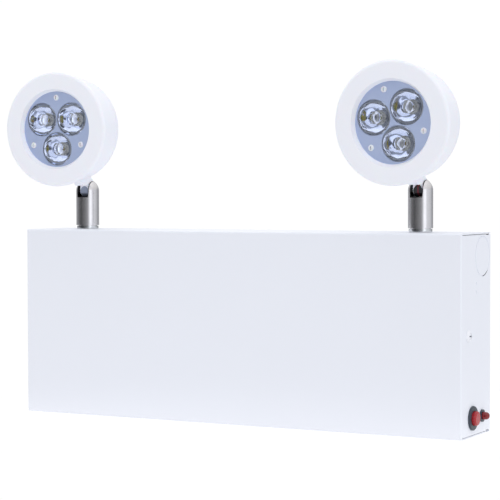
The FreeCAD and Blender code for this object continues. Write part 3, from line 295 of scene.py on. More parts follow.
def coil_tape():
    """Polyester tape over the winding: amber film in overlapping turns, glossy, lightly creased."""
    tree, place = finish("winding")
    laps = add(tree, "ShaderNodeTexWave", {"Vector": place, "Scale": waves(6),
                                           "Distortion": 0.6, "Detail": 2.0},
               bands_direction="Y", wave_profile="SAW")
    crease = add(tree, "ShaderNodeTexNoise", {"Vector": place, "Scale": per(3), "Detail": 4.0})
    tone = add(tree, "ShaderNodeMix", {0: laps, 6: linear("b98a2c"), 7: linear("dcb860")},
               data_type="RGBA")
    bump = add(tree, "ShaderNodeBump", {"Height": crease, "Strength": 0.5,
                                        "Distance": 0.1 * mm})
    shader = add(tree, "ShaderNodeBsdfPrincipled", {
        "Base Color": tone.outputs[2], "Roughness": 0.3, "Normal": bump, "IOR": 1.57})
    add(tree, "ShaderNodeOutputMaterial", {"Surface": shader})


powder_coat()
hot_dip_zinc()
painted_screw()
lens_wall()
lamp_mask()
green_mask()
core_stack()
coil_tape()

# Satin nickel plate over turned steel: grey metal, with fine rings from the lathe tool that
# stretch a reflection up and down, and a soft, slightly uneven gloss. Rings are drawn 0.5 mm
# apart, coarser than the real 0.1 mm, so that they still show.
mottled("satin_nickel", "cccacc", "d6d4d6", (5, 2.0), gloss=(0.16, 0.22),
        grain=((30, 30, 0.5), 3.0), bump=(0.12, 0.004), shader={"Metallic": 1.0})

# Bright stainless steel, polished after turning: clean, cool and sharp in its reflections,
# with hair-fine scuffs.
mottled("bright_steel", "c4c6c8", "d6d8da", (0.6, 6.0, 0.5, 2.0), gloss=(0.05, 0.12),
        shader={"Metallic": 1.0})

# White polycarbonate from a spark-eroded mould: an even satin grain, a little light carried
# under the skin. The grain is drawn 0.6 mm wide, twice the real size, so that it shows.
mottled("white_moulding", "eef0f9", "f0f2fb", (40, 2.0), gloss=(0.42, 0.54),
        grain=(0.6, 2.0, 0.6), bump=(0.25, 0.02),
        shader={"IOR": 1.58, "Subsurface Weight": 0.08, "Subsurface Scale": 1.0 * mm})

# Bright zinc plate with a clear passivate: bluish silver with faint drifts of straw.
mottled("zinc_steel", "c9cdd6", "d2cdbb", (7, 2.0), gloss=(0.22, 0.40), grain=(0.5, 3.0),
        shader={"Metallic": 1.0})

# Vacuum-metallised plate with a satin lacquer: cool silver, soft mirror, fine drawn grain.
mottled("silver_plate", "b4c3e6", "c0cdec", (12, 2.0), gloss=(0.46, 0.56),
        grain=((9, 9, 0.5), 3.0), bump=(0.15, 0.01), shader={"Metallic": 0.85})

# Optical acrylic, polished by its mould: water-clear, with a trace of flow in the surface.
mottled("clear_lens", "f4f7ff", "fbfcff", (6, 1.0), gloss=(0.0, 0.03), bump=(0.1, 0.02),
        shader={"IOR": 1.49, "Transmission Weight": 1.0})

# White alumina under the lamp chip: matt, fine-grained, faintly warm.
mottled("chip", "e6e3da", "f1eee6", (0.3, 2.0), gloss=0.6, bump=(0.3, 0.02),
        shader={"IOR": 1.76})

# Silicone dome over yellow phosphor: a glossy bead, mustard yellow with darker specks.
mottled("phosphor", "c9b347", "ddd07a", (0.25, 3.0), gloss=0.2,
        shader={"IOR": 1.41, "Subsurface Weight": 0.2, "Subsurface Scale": 0.5 * mm})

# Extruded aluminium, plain: soft grey with long die lines.
mottled("heat_sink", "b4b6b8", "caccce", ((0.4, 0.4, 25), 2.0), gloss=(0.36, 0.5),
        shader={"Metallic": 1.0})

# Natural nylon screws: milky, waxy, with light carried inside and a lathe-soft surface.
mottled("pale_screw", "dcdfe6", "e8eaef", (1, 3.0), gloss=0.45, bump=(0.2, 0.03),
        shader={"IOR": 1.53, "Subsurface Weight": 0.2, "Subsurface Scale": 0.8 * mm})

# Capacitor sleeve of shrunk black PVC: glossy, fine ripples round the can.
mottled("capacitor", "15161a", "26282e", ((8, 0.6, 8), 2.0), gloss=0.25, bump=(0.4, 0.05),
        shader={"IOR": 1.53})

# Red moulded button, polished: saturated, glossy, darker where the plastic is thick.
mottled("red_button", "9c1420", "b0202c", (3, 2.0), gloss=(0.2, 0.32),
        shader={"IOR": 1.54, "Subsurface Weight": 0.1, "Subsurface Scale": 0.6 * mm})

# Tinted epoxy lamp: deep red, glassy, light let through at the rim.
mottled("red_lamp", "7c0813", "960f1b", (2, 1.0), gloss=(0.04, 0.09),
        shader={"IOR": 1.55, "Transmission Weight": 0.15})

# PVC insulation on thin leads: soft gloss, faint rings from the extruder. The dark red is a
# red lead in the shade of the tongue's pocket.
for name, dark, light in (("red_lead", "a81a1c", "bb2a28"), ("black_lead", "17181b", "25262a"),
                          ("white_lead", "dcdcd8", "e8e8e4"),
                          ("dark_red_lead", "5c0f20", "741628")):
    mottled(name, dark, light, (1.6, 3.0), gloss=0.42, bump=(0.3, 0.04), shader={"IOR": 1.53})

# Moulded ABS or nylon: one even colour with the mould's grain, and a sheen that varies a little. By
# name: dark and light tone, the grain's size and the mean roughness. The last two are painted shade
# in the same kind of finish: a grey for the floors of the screws' cross recesses, and a grey-blue for
# the shaded front of the left tongue.
for name, dark, light, grain, rough in (
        ("battery_case", "2b2d31", "35373c", 0.8, 0.5),
        ("black_plastic", "1b1c1f", "26272b", 0.5, 0.45),
        ("relay_blue", "1f5fa8", "2a6cb6", 0.5, 0.35),
        ("natural_nylon", "d9d4c4", "e4e0d2", 0.7, 0.45),
        ("slate_bezel", "29313d", "343d4a", 0.5, 0.42),
        # painted shade on the floors of the screws' cross recesses
        ("deep_shade", "5c626d", "6a707b", 0.5, 0.5),
        # painted shade: the grey-blue of the left tongue's shaded front
        ("grey_plug", "8791a6", "97a0b4", 0.5, 0.3)):
    mottled(name, dark, light, (25, 2.0), gloss=(rough - 0.06, rough + 0.06),
            grain=(grain, 3.0), bump=(0.35, 0.05), shader={"IOR": 1.54})

# Rolled brass, lacquered green plate, and a dark steel that paints the shade inside the stems' slots
# and a dark reflection along their edges: cloudy metal, its gloss varying with the clouds.
for name, dark, light, gloss in (("brass", "b08d45", "c9a75c", (0.24, 0.38)),
                                 ("slot_shade_steel", "26262a", "34343a", (0.12, 0.24)),
                                 ("green_screw", "3f8a4a", "57a35f", (0.28, 0.42))):
    mottled(name, dark, light, (2, 4.0), gloss, shader={"Metallic": 1.0})


# ================================================================ pieces
def in_order(form):
    """Sorts a form's corners, edges and faces by where they lie, so they come alike each run."""
    def corners(part):
        return sorted(tuple(vert.co) for vert in part.verts)

    for parts, spots in ((form.verts, lambda vert: tuple(vert.co)),
                         (form.edges, corners), (form.faces, corners)):
        rank = {part: i for i, part in enumerate(sorted(parts, key=spots))}
        parts.sort(key=rank.get)
        parts.index_update()


def mesh_of(form, name):
    """A new mesh from a form, which is freed."""
    mesh = bpy.data.meshes.new(name)
    form.to_mesh(mesh)
    form.free()
    return mesh


def coat(mesh, *slots):
    """Gives a mesh finishes, in the order of its faces' material indices."""
    for slot in slots:
        mesh.materials.append(finishes[slot])


def link(name, mesh, body, slot, *nodes):
    """Puts a finished mesh in the scene as a piece that stands for CAD nodes and rides on a body."""
    piece = bpy.data.objects.new(name, mesh)
    bpy.context.scene.collection.objects.link(piece)
    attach(piece, body)
    if nodes:
        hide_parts(*nodes)
    return piece


def soften(mesh, angle):
    """Smooth shading over the rounds, crisp over edges sharper than the angle in degrees."""
    for layer in [a.name for a in mesh.attributes if a.name == "custom_normal"]:
        mesh.attributes.remove(mesh.attributes[layer])
    mesh.shade_smooth()
    mesh.set_sharp_from_angle(angle=math.radians(angle))


def without_box(mesh, low, high, place):
    """A mesh with a box taken out of it, by the box's two corners in millimetres in its place."""
    form = bmesh.new()
    low, high = Vector(low) * mm, Vector(high) * mm
    bmesh.ops.create_cube(form, size=1.0, matrix=place @ Matrix.Translation((low + high) / 2)
                          @ Matrix.Diagonal((*(high - low), 1)))
    cutter = bpy.data.objects.new("cutter", mesh_of(form, "cutter"))
    holder = bpy.data.objects.new("work", mesh)
    for piece in (cutter, holder):
        bpy.context.scene.collection.objects.link(piece)
    step = holder.modifiers.new("cut", "BOOLEAN")
    step.operation = "DIFFERENCE"
    step.object = cutter
    depsgraph = bpy.context.evaluated_depsgraph_get()
    made = bpy.data.meshes.new_from_object(holder.evaluated_get(depsgraph), depsgraph=depsgraph)
    for piece in (cutter, holder):
        bpy.data.objects.remove(piece)
    made.materials.clear()
    return made


def merged(node):
    """A CAD piece's own form, its triangles joined at the corners that they share."""
    form = bmesh.new()
    form.from_mesh(frame["nodes"][node].data)
    bmesh.ops.remove_doubles(form, verts=form.verts, dist=0.002 * mm)
    return form


def dressed(node, slot, angle=28, shade_test=None, shade_finish="black_plastic", cuts=(), notch=None):
    """A CAD piece in its finish, smooth over its rounds. Where the test says so of a face's middle,
    the face takes a second finish that paints shade there. Cuts are planes, by a spot and a normal,
    that part the faces first. A notch, by two corners and a place, is taken out."""
    form = merged(node)
    for spot, normal in cuts:
        bmesh.ops.bisect_plane(form, geom=form.verts[:] + form.edges[:] + form.faces[:],
                               dist=0.001 * mm, plane_co=spot, plane_no=normal)
    for face in form.faces:
        face.material_index = int(shade_test is not None and shade_test(face.calc_center_median()))
    mesh = mesh_of(form, "finished_" + node)
    if notch is not None:
        mesh = without_box(mesh, *notch)
    coat(mesh, slot)
    if shade_test is not None:
        coat(mesh, shade_finish)
    soften(mesh, angle)
    piece = link("finished_" + node, mesh, frame["nodes"][node]["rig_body"], slot, node)
    weighted = piece.modifiers.new("even_normals", "WEIGHTED_NORMAL")
    weighted.keep_sharp = True
    weighted.weight = 100


def stem_place(side):
    """From a stem's own place, its pivot at the origin, to the whole light's."""
    low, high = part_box(side + "_stem_collar")
    stem = (low + high) / 2
    pivot = Vector((stem.x, stem.y, cabinet_top + pivot_above_top))
    return Matrix.Translation(pivot) @ Matrix.Rotation(math.radians(head_turns[side][0]), 4, "Z")


def tongue_place(side):
    """From a tongue's own place, its pivot at the origin, to the whole light's."""
    return stem_place(side) @ Matrix.Rotation(math.radians(-head_turns[side][1]), 4, "X")


def head_place(side):
    """From a head's own place, its face on z = 0 looking along +Z and +Y up, to the whole light's."""
    return (tongue_place(side) @ Matrix.Translation((0, -head_forward, head_axis))
            @ Matrix.Rotation(math.radians(90), 4, "X"))


# ---------------------------------------------------------------- node trees that shape pieces
def group_of(name, result, inputs):
    """A new geometry tree and the outlets of its named inputs, each of a kind and maybe with a
    value. It gives one geometry, named by result."""
    tree = bpy.data.node_groups.new(name, "GeometryNodeTree")
    for label, (kind, value) in inputs.items():
        made = tree.interface.new_socket(label, in_out="INPUT", socket_type="NodeSocket" + kind)
        if value is not None:
            made.default_value = value
    tree.interface.new_socket(result, in_out="OUTPUT", socket_type="NodeSocketGeometry")
    return tree, add(tree, "NodeGroupInput").outputs


def polar_place(tree, angle, radius, height=0.0):
    """The place in a tree that lies at an angle about the Z axis, a radius and a height."""
    cosine = add(tree, "ShaderNodeMath", {0: angle}, operation="COSINE")
    sine = add(tree, "ShaderNodeMath", {0: angle}, operation="SINE")
    x = add(tree, "ShaderNodeMath", {0: cosine, 1: radius}, operation="MULTIPLY")
    y = add(tree, "ShaderNodeMath", {0: sine, 1: radius}, operation="MULTIPLY")
    return add(tree, "ShaderNodeCombineXYZ", {"X": x, "Y": y, "Z": height})


def turning_tree():
    """Nodes that turn an outline, drawn as a line in X and Z, about the Z axis."""
    tree, given = group_of("turned_piece", "Piece", {
        "Outline": ("Geometry", None), "Segments": ("Int", small_segments),
        "Finish": ("Material", None)})
    count = add(tree, "GeometryNodeAttributeDomainSize", {"Geometry": given["Outline"]})
    around = add(tree, "ShaderNodeMath", {0: given["Segments"], 1: 1.0})
    sheet = add(tree, "GeometryNodeMeshGrid", {"Size X": 1.0, "Size Y": 1.0,
                                               "Vertices X": count, "Vertices Y": around})
    where = add(tree, "ShaderNodeSeparateXYZ", {0: add(tree, "GeometryNodeInputPosition")})
    last = add(tree, "ShaderNodeMath", {0: count, 1: 1.0}, operation="SUBTRACT")
    share = add(tree, "ShaderNodeMath", {0: where.outputs["X"], 1: 0.5})
    step = add(tree, "ShaderNodeMath", {0: share, 1: last}, operation="MULTIPLY")
    index = add(tree, "ShaderNodeMath", {0: step}, operation="ROUND")
    point = add(tree, "GeometryNodeSampleIndex", {
        "Geometry": given["Outline"], "Value": add(tree, "GeometryNodeInputPosition"),
        "Index": index}, data_type="FLOAT_VECTOR")
    outline = add(tree, "ShaderNodeSeparateXYZ", {0: point})
    angle = add(tree, "ShaderNodeMath", {0: where.outputs["Y"], 1: 2 * math.pi},
                operation="MULTIPLY")
    target = polar_place(tree, angle, outline.outputs["X"], outline.outputs["Z"])
    bent = add(tree, "GeometryNodeSetPosition", {"Geometry": sheet, "Position": target})
    closed = add(tree, "GeometryNodeMergeByDistance", {"Geometry": bent,
                                                       "Distance": 0.001 * mm})
    real = add(tree, "GeometryNodeRealizeInstances", {"Geometry": closed})
    coated = add(tree, "GeometryNodeSetMaterial", {"Geometry": real,
                                                   "Material": given["Finish"]})
    add(tree, "NodeGroupOutput", {"Piece": coated})
    return tree


def ring_tree():
    """Nodes that repeat a piece round the Z axis, each copy at the same distance from it. Faces
    that are marked second_finish take the second finish."""
    tree, given = group_of("ring_of_pieces", "Pieces", {
        "One": ("Geometry", None), "Count": ("Int", 3), "Circle": ("Float", lens_circle),
        "First Angle": ("Float", 0.0), "Finish": ("Material", None),
        "Second Finish": ("Material", None)})
    points = add(tree, "GeometryNodePoints", {"Count": given["Count"]})
    turn = add(tree, "ShaderNodeMath", {0: 2 * math.pi, 1: given["Count"]}, operation="DIVIDE")
    angle = add(tree, "ShaderNodeMath", {0: add(tree, "GeometryNodeInputIndex"), 1: turn,
                                         2: given["First Angle"]}, operation="MULTIPLY_ADD")
    spread = add(tree, "GeometryNodeSetPosition", {
        "Geometry": points, "Position": polar_place(tree, angle, given["Circle"])})
    copies = add(tree, "GeometryNodeInstanceOnPoints", {"Points": spread,
                                                        "Instance": given["One"]})
    real = add(tree, "GeometryNodeRealizeInstances", {"Geometry": copies})
    coated = add(tree, "GeometryNodeSetMaterial", {"Geometry": real,
                                                   "Material": given["Finish"]})
    marked = add(tree, "GeometryNodeInputNamedAttribute", {"Name": "second_finish"},
                 data_type="BOOLEAN")
    coated_twice = add(tree, "GeometryNodeSetMaterial", {
        "Geometry": coated, "Selection": marked, "Material": given["Second Finish"]})
    add(tree, "NodeGroupOutput", {"Pieces": coated_twice})
    return tree


def recess_tree():
    """Nodes that sink a cross for a driver into the top of a screw along +Z, and mark its floor for a
    painted shade.
    """
    tree, given = group_of("cross_recess", "Screw", {
        "Screw": ("Geometry", None), "Reach": ("Float", 1 * mm), "Width": ("Float", 0.5 * mm),
        "Floor": ("Float", 0.5 * mm), "Height": ("Float", 1 * mm), "Finish": ("Material", None)})
    long = add(tree, "ShaderNodeMath", {0: given["Reach"], 1: 2.0}, operation="MULTIPLY")
    size = add(tree, "ShaderNodeCombineXYZ", {"X": long, "Y": given["Width"],
                                              "Z": given["Height"]})
    blade = add(tree, "GeometryNodeMeshCube", {"Size": size})
    half = add(tree, "ShaderNodeMath", {0: given["Height"], 1: 0.5, 2: given["Floor"]},
               operation="MULTIPLY_ADD")
    lift = add(tree, "ShaderNodeCombineXYZ", {"Z": half})
    first = add(tree, "GeometryNodeTransform", {"Geometry": blade, "Translation": lift})
    # The second blade stops a hair higher, so no two faces of the cut lie in one plane.
    second = add(tree, "GeometryNodeTransform", {"Geometry": first,
                                                 "Translation": (0, 0, 0.01 * mm),
                                                 "Rotation": (0, 0, math.pi / 2)})
    cut = add(tree, "GeometryNodeMeshBoolean", {"Mesh 1": given["Screw"], "Mesh 2": first},
              operation="DIFFERENCE")
    again = add(tree, "GeometryNodeMeshBoolean", {"Mesh 1": cut, "Mesh 2": second},
                operation="DIFFERENCE")
    where = add(tree, "ShaderNodeSeparateXYZ", {0: add(tree, "GeometryNodeInputPosition")})
    on_floor = add(tree, "ShaderNodeMath", {0: where.outputs["Z"], 1: given["Floor"],
                                            2: 0.02 * mm}, operation="COMPARE")
    marked = add(tree, "GeometryNodeStoreNamedAttribute", {
        "Geometry": again, "Name": "second_finish", "Value": on_floor},
        data_type="BOOLEAN", domain="FACE")
    real = add(tree, "GeometryNodeRealizeInstances", {"Geometry": marked})
    coated = add(tree, "GeometryNodeSetMaterial", {"Geometry": real,
                                                   "Material": given["Finish"]})
    add(tree, "NodeGroupOutput", {"Screw": coated})
    return tree


turning = turning_tree()
ringing = ring_tree()
recessing = recess_tree()


def worked(mesh, *jobs):
    """The plain mesh that node trees, each with its inputs by name, make of another."""
    holder = bpy.data.objects.new("work", mesh)
    bpy.context.scene.collection.objects.link(holder)
    for tree, values in jobs:
        step = holder.modifiers.new(tree.name, "NODES")
        step.node_group = tree
        for item in tree.interface.items_tree:
            if item.item_type == "SOCKET" and item.in_out == "INPUT" and item.name in values:
                step[item.identifier] = values[item.name]
    depsgraph = bpy.context.evaluated_depsgraph_get()
    made = bpy.data.meshes.new_from_object(holder.evaluated_get(depsgraph),
                                           preserve_all_data_layers=True, depsgraph=depsgraph)
    bpy.data.objects.remove(holder)
    return made


# ---------------------------------------------------------------- outlines, in millimetres
def arc(middle, radius, start, end, steps):
    """Points of an arc in an outline, by its middle, its radius and two angles in degrees."""
    return [(middle[0] + radius * math.cos(math.radians(start + (end - start) * i / steps)),
             middle[1] + radius * math.sin(math.radians(start + (end - start) * i / steps)))
            for i in range(steps + 1)]


def dome(rim, rise, base, steps):
    """Points over a ball-shaped dome in an outline, from its rim at a base height to its top."""
    ball = (rim ** 2 + rise ** 2) / (2 * rise)
    half = math.asin(rim / ball)
    return [(ball * math.sin(half * (1 - i / steps)),
             base + rise - ball + ball * math.cos(half * (1 - i / steps)))
            for i in range(steps + 1)]


def turned(points, slot, segments=small_segments):
    """A closed piece turned about Z from an outline in millimetres."""
    mesh = bpy.data.meshes.new("outline")
    spots = [(x * mm, 0, z * mm) for x, z in points + points[:1]]
    mesh.from_pydata(spots, [(i, i + 1) for i in range(len(points))], [])
    return worked(mesh, (turning, {"Segments": segments, "Finish": finishes[slot]}))


def outward(mesh):
    """Faces turned outwards on a closed form."""
    form = bmesh.new()
    form.from_mesh(mesh)
    bmesh.ops.remove_doubles(form, verts=form.verts, dist=0.001 * mm)
    bmesh.ops.dissolve_degenerate(form, edges=form.edges, dist=0.0005 * mm)
    bmesh.ops.recalc_face_normals(form, faces=form.faces)
    form.to_mesh(mesh)
    form.free()
    return mesh


def rounded_block(name, middle_z, size, edge):
    """A block on the Z axis with rounded edges, in millimetres."""
    form = bmesh.new()
    bmesh.ops.create_cube(form, size=1.0, matrix=Matrix.Translation((0, 0, middle_z * mm))
                          @ Matrix.Diagonal((*(length * mm for length in size), 1)))
    bmesh.ops.bevel(form, geom=form.edges[:], offset=edge * mm, segments=2, affect="EDGES")
    return mesh_of(form, name)


def piece_of(name, mesh, place, body, slot, nodes, angle=28):
    """Moves a finished mesh to its place and puts it in the scene."""
    mesh.transform(place)
    outward(mesh)
    soften(mesh, angle)
    return link(name, mesh, body, slot, *nodes)


def screw_ring(rim, rise, shank, length, circle, first, slot, count=3):
    """Round-head cross-recess screws along +Z, in a ring. Sizes in millimetres, circle in metres."""
    point, point_length, rim_edge, rim_height = 0.3, 0.4, 0.1, 0.08
    shape = [(0.0, -length), (shank - point, -length), (shank, point_length - length),
             (shank, 0.0), (rim - rim_edge, 0.0), (rim, rim_height)] + dome(rim, rise, 0, 10)[1:]
    reach, width, floor = 0.55 * rim, 0.24 * rim, 0.45 * rise
    cross = {"Reach": reach * mm, "Width": width * mm, "Floor": floor * mm,
             "Height": 2 * rise * mm, "Finish": finishes[slot]}
    segments = 40
    # the cross's floor takes deep_shade, a painted shade
    ring = worked(outward(turned(shape, slot, segments)), (recessing, cross),
                  (ringing, {"Count": count, "Circle": circle, "First Angle": first,
                             "Finish": finishes[slot],
                             "Second Finish": finishes["deep_shade"]}))
    form = bmesh.new()
    form.from_mesh(ring)
    in_order(form)
    form.to_mesh(ring)
    form.free()
    return ring


# ---------------------------------------------------------------- lamp module
def lens_outline():
    """The collimator from its foot: a flared wall, a rim, a flat face, a well and a cup."""
    foot, belly, shoulder = Vector((lens_foot, 0)), Vector((8.8, 4.7)), Vector((11.1, 11.3))
    rim, length, rim_edge = 11.1, 12.9, 0.2
    well, well_depth, well_edge, crown_rise = 4.0, 3.0, 0.15, 1.0
    cup, cup_depth, cup_edge = 3.2, 4.6, 0.3
    steps = 14
    bend = 2 * belly - (foot + shoulder) / 2
    wall = []
    for i in range(steps + 1):
        t = i / steps
        spot = foot * (1 - t) ** 2 + bend * 2 * t * (1 - t) + shoulder * t ** 2
        wall.append((spot.x, spot.y))
    top = [(rim, length - rim_edge), (rim - rim_edge, length), (well + well_edge, length),
           (well, length - well_edge)]
    crown = dome(well, crown_rise, length - well_depth, 8)
    hollow = [(0.0, cup_depth), (cup - cup_edge, cup_depth), (cup, cup_depth - cup_edge),
              (cup, 0.0)]
    return wall + top + crown + hollow


def lamp_module(side, place, body):
    """Three lenses, three chips, and three pale screws on one head."""
    chip_side, chip_height, chip_edge = 4.0, 0.9, 0.2
    bead_radius, bead_sunk = 1.5, 0.5
    first = math.radians(lens_turns[side])
    on_board = place @ Matrix.Translation((0, 0, -board_depth))
    on_plate = place @ Matrix.Translation((0, 0, -lip * mm))

    def ring_of(one, slot, second="lens_wall"):
        return worked(one, (ringing, {
            "Circle": lens_circle, "First Angle": first, "Finish": finishes[slot],
            "Second Finish": finishes[second]}))

    lens = outward(turned(lens_outline(), "clear_lens", 96))
    mirror = lens.attributes.new("second_finish", "BOOLEAN", "FACE")
    for face in lens.polygons:
        away = math.hypot(face.center.x, face.center.y)
        below_face = face.center.z < mirror_top * mm
        mirror.data[face.index].value = away > lens_foot * mm and below_face
    piece_of(side + "_clear_lenses", ring_of(lens, "clear_lens"), on_board, body, "clear_lens",
             [side + "_lenses"], 35)
    floor = chip_height - bead_sunk
    bead = turned([(0.0, floor), (bead_radius, floor)]
                  + arc((0, chip_height), bead_radius, 0, 90, 10), "phosphor", 32)
    piece_of(side + "_phosphor_beads", ring_of(bead, "phosphor"), on_board, body, "chip", [])
    carrier = rounded_block("carrier", chip_height / 2, (chip_side, chip_side, chip_height),
                            chip_edge)
    piece_of(side + "_chip_carriers", ring_of(carrier, "chip"), on_board, body, "chip",
             [side + "_emitters"])
    screws = screw_ring(rim=2.0, rise=1.1, shank=1.25, length=16.0, circle=screw_circle,
                        first=first + math.radians(60), slot="pale_screw")
    piece_of(side + "_pale_screws", screws, on_plate, body, "pale_screw",
             [side + "_module_screws"])


# ---------------------------------------------------------------- lamp shell
def shell_outline():
    """The front shell's wall: drum, rounded face edge, bevelled mouth and lip."""
    radius, wall, seam, edge, groove = 38.4, 2.0, 23.0, 2.4, 0.35
    mouth, mouth_bevel, mouth_depth = 25.5, 1.5, 2.6
    lean = math.radians(7.5)
    taper = math.tan(lean)
    # the edge's round touches the face and the leaning side
    middle = radius - edge * (1 - math.sin(lean)) / math.cos(lean)
    outer = [(radius - seam * taper - groove, -seam),
             (radius - (seam - groove) * taper, groove - seam)]
    front = arc((middle, -edge), edge, -math.degrees(lean), 90, 12)
    rim = [(mouth + mouth_bevel, 0.0), (mouth, -mouth_depth), (mouth, -lip)]
    inner = radius - wall
    inside = [(inner - lip * taper, -lip), (inner - seam * taper, -seam)]
    return outer + front + rim + inside


# ---------------------------------------------------------------- knuckle
def tongue_shade_sheet(side, body, slot, cord=None):
    """A round-topped sheet over the front of the tongue's pocket, flush with the tongue, in a finish
    that paints the shade there, with a cord's edge showing down its middle in that shade where a cord
    is given."""
    columns, top, half, thick, cord_half = 20, 2.3, 3.15, 0.4, 0.45
    tongue, proud, notch_foot = 5.1, 0.07, -2.4
    radius = tongue + proud
    below = [(-radius, notch_foot)] + arc((0, 0), radius, 231.3, 262, 8)
    form = bmesh.new()
    grid = []
    for i in range(columns + 1):
        u = half * math.sin(math.pi * (i / columns - 0.5))
        crest = top - half + math.sqrt(max(half ** 2 - u ** 2, 0.0))
        grid.append([form.verts.new((u * mm + tongue_shift, y * mm, z * mm))
                     for y, z in [(-radius, crest)] + below])
    for left, right in zip(grid, grid[1:]):
        for j in range(len(below)):
            face = form.faces.new((left[j], left[j + 1], right[j + 1], right[j]))
            across = abs(face.calc_center_median().x - tongue_shift)
            face.material_index = int(cord is not None and across < cord_half * mm)
    bmesh.ops.recalc_face_normals(form, faces=form.faces)
    bmesh.ops.solidify(form, geom=form.faces[:], thickness=thick * mm)
    bmesh.ops.recalc_face_normals(form, faces=form.faces)
    in_order(form)
    mesh = mesh_of(form, side + "_tongue_shade_sheet")
    mesh.transform(tongue_place(side))
    coat(mesh, slot, *([cord] if cord else []))
    soften(mesh, 40)
    link(side + "_tongue_shade_sheet", mesh, body, "black_plastic")


def slot_shade_pad(side, body):
    """A black pad on the floor of a stem's slot, a dark piece that paints the shade there."""
    middle, size, edge = -5.36, (8.3, 3.6, 0.32), 0.06
    pad = rounded_block(side + "_slot_shade_pad", middle, size, edge)
    coat(pad, "black_plastic")
    piece_of(side + "_slot_shade_pad", pad, stem_place(side), body, "black_plastic", [])


def forked_stem(side):
    """A stem with painted shade inside its slot, and a painted dark reflection in a narrow band along
    the slot's edges.
    """
    place = stem_place(side)
    inverse = place.inverted()
    across = place.to_3x3() @ Vector((1, 0, 0))
    edge = slot_half + slot_edge_shade

    def in_slot_shade(middle):
        spot = inverse @ middle
        return abs(spot.x) < edge and spot.z > slot_floor

    dressed(side + "_stem", "satin_nickel", 24, in_slot_shade, "slot_shade_steel",
            [(place @ Vector((end * edge, 0, 0)), across) for end in (-1, 1)])


for side in ("left", "right"):
    head = side + "_head_body"
    place = head_place(side)
    piece_of(side + "_front_shell", turned(shell_outline(), "white_moulding", drum_segments), place,
             head, "white_moulding", [side + "_lamp_shell"], 24)
    lamp_module(side, place, head)
    # the notch lets the sheet of painted shade show in front of the neck
    dressed(side + "_back_cover", "white_moulding", 24, notch=(*cover_notch, tongue_place(side)))
    tongue_shade_sheet(side, head, *pocket_shades[side])
    dressed(side + "_face_plate", "silver_plate")
    forked_stem(side)
    slot_shade_pad(side, side + "_stem_body")
    for fitting in ("_stem_collar", "_pivot_screw", "_friction_washer"):
        dressed(side + fitting, "bright_steel")
    bolts = screw_ring(rim=2.9, rise=1.7, shank=1.5, length=7.0, circle=bolt_circle,
                       first=math.radians(90), slot="zinc_steel")
    behind = (place @ Matrix.Translation((0, 0, -head_depth))
              @ Matrix.Rotation(math.radians(180), 4, "Y"))
    piece_of(side + "_back_bolts", bolts, behind, head, "zinc_steel", [side + "_cover_bolts"])


# ---------------------------------------------------------------- leads of the heads, in two colours
def lead_pair(node):
    """A red and a black lead, told apart by which side of the pair's middle they lie on."""
    form = merged(node)
    middle = sum(v.co.x for v in form.verts) / len(form.verts)
    for face in form.faces:
        face.material_index = int(face.calc_center_median().x <= middle)
    mesh = mesh_of(form, "finished_" + node)
    coat(mesh, "red_lead", "black_lead")
    soften(mesh, 30)
    link("finished_" + node, mesh, frame["nodes"][node]["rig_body"], "lead_pair", node)


for side in ("left", "right"):
    lead_pair(side + "_lamp_leads")
    lead_pair(side + "_stem_leads")


# ---------------------------------------------------------------- cabinet and what is on its end
def in_knockout_slit_shade(middle):
    """Whether a spot lies in the lower rear part of the slit round the end's knockout, which is
    painted black as the slit's shade.
    """
    forward, up = middle.y + knockout_from_wall, middle.z - knockout_height
    turn = math.degrees(math.atan2(up, forward))
    off_ring = abs(math.hypot(forward, up) - knockout_radius)
    at_end = abs(middle.x) > half_width - slit_reach
    return at_end and off_ring < slit_half and slit_shade_turns[0] < turn < slit_shade_turns[1]


def cover_screw_pair():
    """The two white cover screws, one in each end, as one piece."""
    low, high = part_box("cover_screws")
    middle = (low + high) / 2
    both = bmesh.new()
    for end in (-1, 1):
        screw = screw_ring(rim=3.8, rise=2.2, shank=1.9, length=7.0, circle=0.0, first=0.0,
                           slot="white_screw", count=1)
        screw.transform(Matrix.Translation((end * half_width, middle.y, middle.z))
                        @ Matrix.Rotation(math.radians(90 * end), 4, "Y"))
        for face in screw.polygons:
            face.material_index = int(screw.materials[face.material_index].name == "deep_shade")
        both.from_mesh(screw)
    in_order(both)
    pair = mesh_of(both, "cover_screw_pair")
    coat(pair, "white_screw", "deep_shade")
    piece_of("cover_screw_pair", pair, Matrix.Identity(4), "cabinet", "white_screw",
             ["cover_screws"])


# the front cover, with its faces in the lower rear of the knockout's slit painted black as painted
# shade
dressed("front_cover", "white_enamel", 24, in_knockout_slit_shade)
for node, slot in (("back_plate", "galvanised_sheet"), ("test_button_bezel", "slate_bezel"),
                   ("test_button", "red_button"), ("pilot_clip", "slate_bezel"),
                   ("pilot_lamp", "red_lamp")):
    dressed(node, slot, 24)
cover_screw_pair()

# what keeps its CAD form, inside the cabinet and the heads
kept = {
    "battery": "battery_case", "battery_blades": "brass", "battery_strap": "zinc_steel",
    "chassis_screws": "zinc_steel", "charger_board": "charger_board",
    "board_standoffs": "natural_nylon", "relay": "relay_blue", "lamp_socket": "natural_nylon",
    "capacitors": "capacitor", "transformer_core": "laminations",
    "transformer_coil": "winding", "transformer_bracket": "zinc_steel",
    "terminal_block": "black_plastic", "ground_screw": "green_screw",
    "wire_clips": "natural_nylon", "switch_body": "black_plastic", "switch_blades": "brass",
    "switch_nut": "zinc_steel", "red_leads": "red_lead", "black_leads": "black_lead",
    "white_leads": "white_lead",
}
for side in ("left", "right"):
    kept[side + "_stem_nut"] = "zinc_steel"
    kept[side + "_heat_sink"] = "heat_sink"
    kept[side + "_lamp_board"] = "lamp_board"
for node, slot in kept.items():
    mesh = frame["nodes"][node].data
    mesh.materials.clear()
    coat(mesh, slot)


